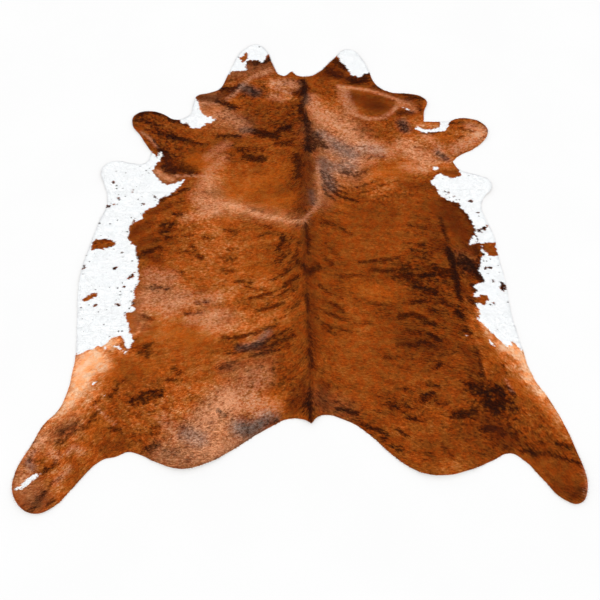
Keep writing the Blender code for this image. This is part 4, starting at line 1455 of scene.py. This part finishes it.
def coat_colours(colours):
    """The node group that gives the coat's colour from the fields kept on a mesh."""
    tree = bpy.data.node_groups.new("Coat colour", "ShaderNodeTree")
    tree.interface.new_socket("Colour", in_out="OUTPUT", socket_type="NodeSocketColor")
    tree.interface.new_socket("White share", in_out="OUTPUT", socket_type="NodeSocketFloat")
    w = Wiring(tree)
    place = w.place()
    tones = {name: w.share(name) for name in TONES}

    def grain(over, kind):
        """One of the coat's noises, spread out to go from -1 to 1."""
        return w.ease(w.grain(over, kind), *NOISE_MIDDLE, -1.0, 1.0)

    def by_rough(plain, more):
        """A number on plain hair, and with more added where the coat is rough."""
        return w.scaled(tones["rough"], more, plain)

    # Streaks of hair, from long locks to single tufts, and soft blotches
    sway = w.scaled(w.noise(w.stretched(place, even(SWAY_SIZE)), 1.0), 2 * SWAY, -SWAY)
    sway = w.add("ShaderNodeCombineXYZ", {"Y": sway}).outputs["Vector"]
    stream = {0: w.place("stream"), 1: sway}
    stream = w.add("ShaderNodeVectorMath", stream, operation="ADD").outputs["Vector"]
    bands, streaks, tufts = (grain(stream, kind) for kind in (BANDS, STREAKS, TUFTS))
    blotches, mottle, clumps = (grain(place, kind) for kind in (BLOTCHES, MOTTLE, CLUMPS))

    # How light the hair is: the plain coat with its grain, weaker where the hair lies smooth, and
    # dark hair in fine streaks, or in clumps where the coat is rough, closest where it is dark
    strands = w.scaled(w.maths("SUBTRACT", clumps, streaks), by_rough(*CLUMPED), streaks)
    coarse = w.times(tufts, by_rough(*TUFTS_LIGHT))
    coarse = w.scaled(strands, by_rough(*STRANDS_LIGHT), coarse)
    coarse = w.scaled(mottle, by_rough(*MOTTLE_LIGHT), coarse)
    light = w.scaled(bands, BANDS_LIGHT, PLAIN_COAT)
    light = w.scaled(blotches, BLOTCHES_LIGHT, light)
    kept = w.scaled(tones["smooth"], -SMOOTHED, 1.0)
    light = w.scaled(coarse, kept, light)
    close = w.scaled(strands, STRANDS_BRINDLE, tones["dark"])
    close = w.scaled(bands, BANDS_BRINDLE, close)
    close = w.scaled(tones["deep"], DEEP_BRINDLE, close)
    brindle = w.times(w.ease(close, *BRINDLE_RANGE), kept)
    light = w.scaled(brindle, BRINDLE_LIGHT, light)
    for name, change in TONE_LIGHT.items():
        light = w.scaled(tones[name], change, light)
    lock = w.maths("SUBTRACT", w.maths("POWER", w.share("lock"), LOCKS_POWER), LOCKS_MEAN)
    light = w.scaled(lock, by_rough(*LOCKS_LIGHT), light)
    ramp = w.add("ShaderNodeValToRGB", {"Fac": light})
    while len(ramp.color_ramp.elements) < len(SHADES):
        ramp.color_ramp.elements.new(0.5)
    for stop, (name, position) in zip(ramp.color_ramp.elements, SHADES.items()):
        stop.position = position
        stop.color = solid(getattr(colours, name))
    coat = ramp.outputs["Color"]

    # Its hue: a cast that changes from place to place, and each tone's own colour, strongest along
    # the lighter streaks
    cast = w.ease(grain(place, CAST), -1.0, 1.0)
    coat = w.tinted(coat, w.mix(cast, solid(GREYER), solid(REDDER)))
    lit = w.scaled(strands, STRANDS_HUE, mottle)
    for name, shares in TONE_HUE.items():
        share = w.times(tones[name], w.ease(lit, *HUE_RANGE, *shares))
        coat = w.mix(share, coat, solid(getattr(colours, name)))
    plain = w.add("ShaderNodeRGBToBW", {0: coat}).outputs[0]
    for name, tint in FADED.items():
        faded = w.rgb(*(w.times(plain, part) for part in tint))
        share = w.times(tones[name], w.ease(mottle, *FADED_RANGE, *FADED_SHARES))
        coat = w.mix(share, coat, faded)
    # Partings, and the painted shadow along the flank fold, in near black
    coat = w.mix(w.times(tones["parting_and_crease_shade"], PARTING_AND_CREASE_SHADE_SHARE), coat, solid(colours.near_black))

    # White belly hair with a ragged border, and dark specks in it
    ragged = w.scaled(mottle, MOTTLE_RAGGED, w.share("white"))
    for kind in (SMALL_RAGS, LARGE_RAGS):
        ragged = w.scaled(grain(place, kind), RAGGED, ragged)
    white = w.ease(ragged, *WHITE_BORDER)
    cells = {"Vector": w.stretched(place, even(SPECK_CELL)), "Scale": 1.0, "Randomness": 1.0}
    cells = w.add("ShaderNodeTexVoronoi", cells, voronoi_dimensions="3D")
    chance = w.add("ShaderNodeSeparateColor", {0: cells.outputs["Color"]}).outputs
    chosen = w.maths("GREATER_THAN", w.times(w.share("specks"), SPECK_CHANCE), chance[0])
    least, more = SPECK_SIZES
    speck = w.maths("LESS_THAN", cells.outputs["Distance"], w.scaled(chance[1], more, least))
    speck_colour = w.mix(chance[2], solid(colours.near_black), solid(colours.smoke))
    # Painted shade on the white hair, between its tufts and in soft blotches
    shade = w.mix(w.ease(tufts, -1.0, 1.0), solid(WHITE_SHADE), solid(WHOLE))
    cloud = w.mix(w.ease(blotches, *BLOTCH_SHADE_RANGE), solid(WHITE_BLOTCH_SHADE), solid(WHOLE))
    white_hair = w.tinted(w.tinted(solid(colours.white), shade), cloud)
    white_hair = w.mix(w.times(speck, chosen), white_hair, speck_colour)
    coat = w.mix(white, coat, white_hair)

    # Painted shade along the cut edge: the hair there is darkened, as a dark outline round the hide
    rim = w.times(w.share("rim"), w.ease(blotches, -1.0, 1.0, RIM_LEAST, 1.0))
    rim_shade_tint = w.mix(white, solid(BROWN_RIM_SHADE), solid(WHITE_RIM_SHADE))
    coat = w.mix(rim, coat, w.tinted(coat, rim_shade_tint))
    w.add("NodeGroupOutput", {"Colour": coat, "White share": white})
    return tree


HAIR_FINISH = {"Roughness": 0.5, "Specular IOR Level": 0.04}
ROOT_GRAIN = Grain((0.012, 0.0016, SIDE_SHIFT), START, 2.0, 0.6)
ROOT_BUMP = (0.0006, 0.6)  # m, and its strength
TIP_SHADES = (0.92, 1.08)  # from the root of a lock to its tip
WHITE_EVEN = 0.85  # how much of that is left out of white hair
SUEDE_FINISH = {
    "Roughness": 0.9,
    "Specular IOR Level": 0.2,
    "Sheen Weight": 0.2,
    "Sheen Roughness": 0.5,
}
SUEDE_NAP = Grain(even(0.0016), START, 3.0, 0.6)
SUEDE_NAP_SHADES = (0.9, 1.08)
SUEDE_CLOUD = Grain(even(0.09), (4.0, 2.0, 0.0), 3.0, 0.5)
SUEDE_CLOUD_RANGE = (0.3, 0.7)
SUEDE_CLOUD_SHADES = (0.86, 1.08)
SUEDE_BUMP = (0.0005, 0.5)


def skin_coat_material(colours_tree):
    """The hair side of the skin: the coat's colour at the roots, with a fine hairy grain."""
    material, w, shader = new_material("hair_roots")
    coat = w.add("ShaderNodeGroup", node_tree=colours_tree).outputs["Colour"]
    grain = w.grain(w.place("stream"), ROOT_GRAIN)
    w.give(shader, {"Base Color": coat, "Normal": w.bump(grain, *ROOT_BUMP), **HAIR_FINISH})
    return material


def hair_material(colours_tree):
    """A lock: the coat's colour at its root, lighter towards the tip."""
    material, w, shader = new_material("hair_locks")
    coat = w.add("ShaderNodeGroup", node_tree=colours_tree).outputs
    shade = w.grey(w.ease(w.share("tip"), 0.0, 1.0, *TIP_SHADES))
    brown = w.tinted(coat["Colour"], shade)
    hair = w.mix(w.times(coat["White share"], WHITE_EVEN), brown, coat["Colour"])
    w.give(shader, {"Base Color": hair, **HAIR_FINISH})
    return material


def suede_material(rgb):
    """The underside and the cut edge: napped suede."""
    material, w, shader = new_material("suede_back")
    nap = w.grain(w.place(), SUEDE_NAP)
    cloud = w.grain(w.place(), SUEDE_CLOUD)
    cloud = w.ease(cloud, *SUEDE_CLOUD_RANGE, *SUEDE_CLOUD_SHADES)
    shade = w.grey(w.times(cloud, w.ease(nap, *NOISE_RANGE, *SUEDE_NAP_SHADES)))
    suede = w.tinted(solid(rgb), shade)
    w.give(shader, {"Base Color": suede, "Normal": w.bump(nap, *SUEDE_BUMP), **SUEDE_FINISH})
    return material


# -------- Hair

LOCK_SIDES = 3
LOCK_FLATNESS = 0.5
LOCK_MIDDLE = 0.45  # the share of a lock that lies before its middle
LOCK_LENGTHS = (0.75, 1.25)
MOST_ROOTS = 260000.0  # tried on each square metre, before those too close together are dropped
STRAY_ALONG = 0.0075  # m, how far from its root a lock takes its tone
STRAY_ACROSS = 0.0024
TUFT_SWING = 2.0  # spreads the noise that turns the tufts to about -1 to 1
SAME_PLACE = 1e-6
PIECE_SEEDS = 20  # between the seeds of two pieces of the coat
LIGHTNESS_DRAW = 3  # added to the seed for each thing that chance decides about a lock
TURN_DRAW = 5
LIE_DRAW = 7
LENGTH_DRAW = 9
REGIONS = ("neck", "flank", "rump")


def lock_tree(material, sizes):
    """The Geometry Nodes tree that grows locks of hair on a patch of skin."""
    tree = bpy.data.node_groups.new("Hair locks", "GeometryNodeTree")
    tree.is_modifier = True
    tree.interface.new_socket("Geometry", in_out="INPUT", socket_type="NodeSocketGeometry")
    for name, value in lock_inputs(sizes).items():
        kind = "NodeSocketInt" if isinstance(value, int) else "NodeSocketFloat"
        tree.interface.new_socket(name, in_out="INPUT", socket_type=kind).default_value = value
    tree.interface.new_socket("Geometry", in_out="OUTPUT", socket_type="NodeSocketGeometry")
    w = Wiring(tree)
    given = w.add("NodeGroupInput").outputs

    def vector(operation, a, b=None, scale=None):
        """A sum on vectors."""
        inputs = {0: a}
        if b is not None:
            inputs[1] = b
        if scale is not None:
            inputs["Scale"] = scale
        node = w.add("ShaderNodeVectorMath", inputs, operation=operation)
        return node.outputs["Value" if operation == "DOT_PRODUCT" else "Vector"]

    def chance(low, high, shift):
        """A number for each root."""
        seed = w.maths("ADD", given["Seed"], shift)
        node = w.add("FunctionNodeRandomValue", {2: low, 3: high, "Seed": seed}, data_type="FLOAT")
        return node.outputs[1]

    def kept(name):
        """A vector kept for each point."""
        node = w.add("GeometryNodeInputNamedAttribute", {"Name": name}, data_type="FLOAT_VECTOR")
        return node.outputs[0]

    def keep(geometry, name, value, kind="FLOAT"):
        """Keeps a value for each point under a name."""
        inputs = {"Geometry": geometry, "Name": name, "Value": value}
        node = w.add("GeometryNodeStoreNamedAttribute", inputs, data_type=kind, domain="POINT")
        return node.outputs["Geometry"]

    # One lock, pointing up: a thin three-sided spike, its ridge towards X
    cone = w.add(
        "GeometryNodeMeshCone",
        {
            "Vertices": LOCK_SIDES,
            "Side Segments": 1,
            "Fill Segments": 1,
            "Radius Top": 0.0,
            "Radius Bottom": w.maths("DIVIDE", given["Lock width"], math.sqrt(3.0)),
            "Depth": given["Lock length"],
        },
    )
    height = w.add("ShaderNodeSeparateXYZ", {0: w.add("GeometryNodeInputPosition").outputs[0]})
    tip = w.maths("DIVIDE", height.outputs["Z"], given["Lock length"])
    lock = keep(cone.outputs["Mesh"], "tip", tip)
    back = w.times(given["Lock length"], -LOCK_MIDDLE)
    back = w.add("ShaderNodeCombineXYZ", {"Z": back}).outputs["Vector"]
    inputs = {"Geometry": lock, "Translation": back, "Scale": (LOCK_FLATNESS, 1.0, 1.0)}
    lock = w.add("GeometryNodeTransform", inputs).outputs["Geometry"]

    # The roots, scattered evenly, each with its own place kept for its colour
    roots = w.add(
        "GeometryNodeDistributePointsOnFaces",
        {
            "Mesh": given["Geometry"],
            "Distance Min": given["Spacing"],
            "Density Max": MOST_ROOTS,
            "Seed": given["Seed"],
        },
        distribute_method="POISSON",
    )
    normal = roots.outputs["Normal"]
    place = w.add("GeometryNodeInputPosition").outputs[0]
    points = keep(roots.outputs["Points"], "place", place, "FLOAT_VECTOR")
    points = keep(points, "lock", chance(0.0, 1.0, LIGHTNESS_DRAW))
    points = keep(points, "upright", normal, "FLOAT_VECTOR")
    upright, combed = kept("upright"), kept("comb")

    # The way each lock lies: along the skin as combed, turned aside a little, and off the skin
    sunk = vector("SCALE", upright, scale=vector("DOT_PRODUCT", combed, upright))
    along = vector("NORMALIZE", vector("SUBTRACT", combed, sunk))
    tuft_place = vector("SCALE", place, scale=w.maths("DIVIDE", 1.0, given["Tuft size"]))
    tuft = w.scaled(w.noise(tuft_place, 1.0), 2 * TUFT_SWING, -TUFT_SWING)
    aside = w.times(tuft, given["Tuft turn"])
    aside = w.scaled(chance(-1.0, 1.0, TURN_DRAW), given["Lock turn"], aside)
    turned = {"Vector": along, "Axis": upright, "Angle": aside}
    along = w.add("ShaderNodeVectorRotate", turned, rotation_type="AXIS_ANGLE").outputs["Vector"]
    lie = w.scaled(chance(-1.0, 1.0, LIE_DRAW), given["Lie spread"], given["Lie"])
    level = vector("SCALE", along, scale=w.maths("COSINE", lie))
    raised = vector("SCALE", upright, scale=w.maths("SINE", lie))
    way = vector("ADD", level, raised)
    turn = w.add("FunctionNodeAlignRotationToVector", {"Vector": way}, axis="Z")
    inputs = {"Rotation": turn.outputs["Rotation"], "Vector": upright}
    turn = w.add("FunctionNodeAlignRotationToVector", inputs, axis="X", pivot_axis="Z")
    offset = vector("SCALE", upright, scale=given["Lift"])
    inputs = {"Geometry": points, "Offset": offset}
    points = w.add("GeometryNodeSetPosition", inputs).outputs["Geometry"]
    tall = chance(*LOCK_LENGTHS, LENGTH_DRAW)
    scale = w.add("ShaderNodeCombineXYZ", {"X": 1.0, "Y": 1.0, "Z": tall})
    grown = w.add(
        "GeometryNodeInstanceOnPoints",
        {
            "Points": points,
            "Instance": lock,
            "Rotation": turn.outputs["Rotation"],
            "Scale": scale.outputs["Vector"],
        },
    )
    real = w.add("GeometryNodeRealizeInstances", {"Geometry": grown.outputs["Instances"]})
    inputs = {"Geometry": real.outputs["Geometry"], "Material": material}
    done = w.add("GeometryNodeSetMaterial", inputs)
    w.add("NodeGroupOutput", {"Geometry": done.outputs["Geometry"]})
    return tree


def lock_inputs(sizes):
    """The tree's named inputs and their values."""
    properties = sizes.bl_rna.properties
    return {properties[key].name: getattr(sizes, key) for key in HairSizes.__annotations__}


def coat_regions(skin, top_count):
    """The hair side of the skin in parts of like area: left and right, from neck to rump."""
    corners = np.array([skin.polygons[i].vertices[:] for i in range(top_count)])
    places = point_array(skin)[corners]
    middle = places.mean(1)
    right = off_spine(middle[:, 0] / MM, middle[:, 1] / MM) > 0
    for side, chosen in (("left", ~right), ("right", right)):
        order = np.flatnonzero(chosen)[np.argsort(-middle[chosen][:, 1])]
        edges = places[order][:, 1:, :2] - places[order][:, :1, :2]
        areas = 0.5 * np.abs(np.cross(edges[:, 0], edges[:, 1]))
        share = np.cumsum(areas) / areas.sum() * len(REGIONS)
        for k, part in enumerate(REGIONS):
            yield f"hair_{side}_{part}", corners[order[(share > k) & (share <= k + 1)]]


def patch_mesh(skin, corners):
    """A part of the skin's hair side by itself, with the comb kept on it."""
    used, faces = np.unique(corners, return_inverse=True)
    places = point_array(skin)[used]
    mesh = bpy.data.meshes.new("patch")
    mesh.from_pydata(places.tolist(), [], faces.reshape(-1, 3).tolist())
    store(mesh, "comb", comb(places[:, 0] / MM, places[:, 1] / MM))
    return mesh


def grow_hair(name, patch, tree, sizes, seed):
    """One piece of the coat, as a plain mesh."""
    ground = bpy.data.objects.new("patch", patch)
    bpy.context.scene.collection.objects.link(ground)
    modifier = ground.modifiers.new("Hair locks", "NODES")
    modifier.node_group = tree
    values = dict(lock_inputs(sizes), Seed=seed)
    for item in tree.interface.items_tree:
        if item.in_out == "INPUT" and item.name in values:
            modifier[item.identifier] = values[item.name]
    graph = bpy.context.evaluated_depsgraph_get()
    mesh = bpy.data.meshes.new_from_object(ground.evaluated_get(graph), depsgraph=graph)
    ground.modifiers.remove(modifier)
    bpy.data.objects.remove(ground)
    bpy.data.meshes.remove(patch)
    mesh.name = name
    return mesh


def strayed(roots):
    """Places a little off the roots, mostly along the lie, as hair from further up lies over."""
    way = comb(roots[:, 0] / MM, roots[:, 1] / MM)
    across = np.column_stack((-way[:, 1], way[:, 0], way[:, 2]))
    far = np.random.default_rng(SEED).normal(size=(2, len(roots), 1))
    return roots + STRAY_ALONG * far[0] * way + STRAY_ACROSS * far[1] * across


def dress_hair(mesh):
    """Keeps on each lock the coat's fields at its root, and maps the locks flat for the bake."""
    per_lock = LOCK_SIDES + 1
    roots = read(mesh.attributes["place"].data, "vector", 3).astype(float)
    roots = roots.reshape(-1, per_lock, 3)
    if np.ptp(roots, axis=1).max() > SAME_PLACE:
        raise RuntimeError("the points of a lock don't lie together in the mesh")
    for name, values in coat_fields(roots[:, 0], strayed(roots[:, 0])).items():
        store(mesh, name, np.repeat(values, per_lock, axis=0))
    places = point_array(mesh)[:, :2]
    store(mesh, "rim", painted_rim_shade(*(places / MM).T))
    for name in ("comb", "upright"):
        if name in mesh.attributes:
            mesh.attributes.remove(mesh.attributes[name])
    for layer in list(mesh.uv_layers):
        mesh.uv_layers.remove(layer)
    low, high = places.min(0), places.max(0)
    corners = read(mesh.loops, "vertex_index", kind=int)
    set_map(mesh, MAP_MARGIN + (1.0 - 2 * MAP_MARGIN) * (places[corners] - low) / (high - low))
    mesh.shade_smooth()


# -------- Operators

SKIN = "skin"
FLOOR = "floor"
FLOOR_CLOUDS = 0.4  # m
FLOOR_SHADES = (0.74, 0.75)
FLOOR_FINISH = {"Roughness": 1.0, "Specular IOR Level": 0.0}
SENSOR = 36.0  # mm, Blender's usual sensor
CAMERA_SIGHT = 100.0  # m
KEY_PLACE = (0.3, -2.5, 3.2)  # the soft light shines from here towards the middle of the rug


def show(name, mesh):
    """A new object in the scene that shows the mesh."""
    piece = bpy.data.objects.new(name, mesh)
    bpy.context.scene.collection.objects.link(piece)
    return piece


class RUG_OT_studio(bpy.types.Operator):
    """Makes the plain floor, the soft light and the camera"""

    bl_idname = "rug.studio"
    bl_label = "Make studio"

    def execute(self, context):
        sizes = context.scene.rug_studio
        scene = context.scene
        bpy.ops.mesh.primitive_plane_add(size=sizes.floor_side)
        floor = context.object
        floor.name = FLOOR
        material, w, shader = new_material("studio_floor")
        place = w.add("ShaderNodeTexCoord").outputs["Object"]
        clouds = w.noise(w.stretched(place, even(FLOOR_CLOUDS)))
        shade = w.ease(clouds, *NOISE_RANGE, *FLOOR_SHADES)
        w.give(shader, {"Base Color": w.grey(shade), **FLOOR_FINISH})
        floor.data.materials.append(material)
        floor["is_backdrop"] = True

        camera = bpy.data.cameras.new("camera")
        camera.sensor_width = SENSOR
        camera.lens = 0.5 * SENSOR / math.tan(0.5 * sizes.view_width)
        camera.clip_end = CAMERA_SIGHT
        holder = show("camera", camera)
        holder.location = (0.0, -sizes.camera_back, sizes.camera_height)
        holder.rotation_euler = (sizes.camera_tilt, 0.0, 0.0)
        scene.camera = holder

        key = bpy.data.lights.new("key_light", "SUN")
        key.energy = sizes.key_strength
        key.angle = sizes.key_softness
        lamp = show("key_light", key)
        lamp.location = KEY_PLACE
        lamp.rotation_euler = Vector(KEY_PLACE).to_track_quat("Z", "Y").to_euler()

        scene.world = bpy.data.worlds.new("daylight")
        scene.world.use_nodes = True
        air = scene.world.node_tree.nodes["Background"]
        air.inputs["Color"].default_value = solid(WHOLE)
        air.inputs["Strength"].default_value = sizes.daylight
        scene.view_settings.view_transform = "Standard"
        return {"FINISHED"}


class RUG_OT_skin(bpy.types.Operator):
    """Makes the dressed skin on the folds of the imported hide, with the coat's colour on top"""

    bl_idname = "rug.skin"
    bl_label = "Make skin"

    def execute(self, context):
        sizes = context.scene.rug_skin
        colours = context.scene.rug_coat
        mesh, ring, upper_count, top_count = make_skin(sizes)
        map_skin(mesh, ring, upper_count, top_count)
        places = point_array(mesh)
        store(mesh, "place", places)
        for name, values in coat_fields(places, places).items():
            store(mesh, name, values)
        store(mesh, "rim", painted_rim_shade(*(places[:, :2] / MM).T))
        mesh.materials.append(skin_coat_material(coat_colours(colours)))
        mesh.materials.append(suede_material(colours.suede))
        slots = np.ones(len(mesh.polygons), int)
        slots[:top_count] = 0
        mesh.polygons.foreach_set("material_index", slots)
        mesh.shade_smooth()
        mesh.set_sharp_from_angle(angle=SHARP_EDGE)
        skin = show(SKIN, mesh)
        skin["top_faces"] = top_count
        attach(skin, BODY)
        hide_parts(HIDE_NODE)
        return {"FINISHED"}


def top_area(skin):
    """The area of the hair side in square metres."""
    areas = read(skin.data.polygons, "area", kind=float)
    return float(areas[: skin["top_faces"]].sum())


class RUG_OT_hair(bpy.types.Operator):
    """Grows the coat on the skin, in pieces for the left and right of the neck, flank and rump"""

    bl_idname = "rug.hair"
    bl_label = "Grow hair"

    def execute(self, context):
        sizes = context.scene.rug_hair
        skin = bpy.data.objects.get(SKIN)
        if skin is None:
            raise RuntimeError("make the skin before its hair")
        material = hair_material(bpy.data.node_groups["Coat colour"])
        tree = lock_tree(material, sizes)
        for k, (name, corners) in enumerate(coat_regions(skin.data, skin["top_faces"])):
            seed = sizes.seed + PIECE_SEEDS * k
            mesh = grow_hair(name, patch_mesh(skin.data, corners), tree, sizes, seed)
            dress_hair(mesh)
            piece = show(name, mesh)
            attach(piece, BODY)
        top_area(skin)
        return {"FINISHED"}


class RUG_PT_panel(bpy.types.Panel):
    """Lists the steps and the sizes of the rug"""

    bl_idname = "RUG_PT_panel"
    bl_label = "Cowhide Rug"
    bl_space_type = "VIEW_3D"
    bl_region_type = "UI"
    bl_category = "Rug"

    def draw(self, context):
        for step, sizes in STEPS:
            box = self.layout.box()
            box.operator(step.bl_idname)
            for group in sizes:
                values = getattr(context.scene, group)
                for name in values.__annotations__:
                    box.prop(values, name)


STEPS = (
    (RUG_OT_studio, ("rug_studio",)),
    (RUG_OT_skin, ("rug_skin", "rug_coat")),
    (RUG_OT_hair, ("rug_hair",)),
)
GROUPS = {
    "rug_studio": StudioSizes,
    "rug_skin": SkinSizes,
    "rug_coat": CoatColours,
    "rug_hair": HairSizes,
}
CLASSES = (*GROUPS.values(), *(step for step, sizes in STEPS), RUG_PT_panel)


def register():
    """Makes the operators, the panel and the sizes known to Blender."""
    for kind in CLASSES:
        bpy.utils.register_class(kind)
    for name, kind in GROUPS.items():
        setattr(bpy.types.Scene, name, PointerProperty(type=kind))


def unregister():
    """Takes them away again."""
    for name in GROUPS:
        delattr(bpy.types.Scene, name)
    for kind in reversed(CLASSES):
        bpy.utils.unregister_class(kind)


def main():
    """Makes the studio, the skin and the coat."""
    register()
    bpy.ops.rug.studio()
    bpy.ops.rug.skin()
    bpy.ops.rug.hair()
    boxes = {"cad": CAD_BOX, "visual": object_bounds()}
    plain = {name: [list(low), list(high)] for name, (low, high) in boxes.items()}


if __name__ == "__main__":
    main()
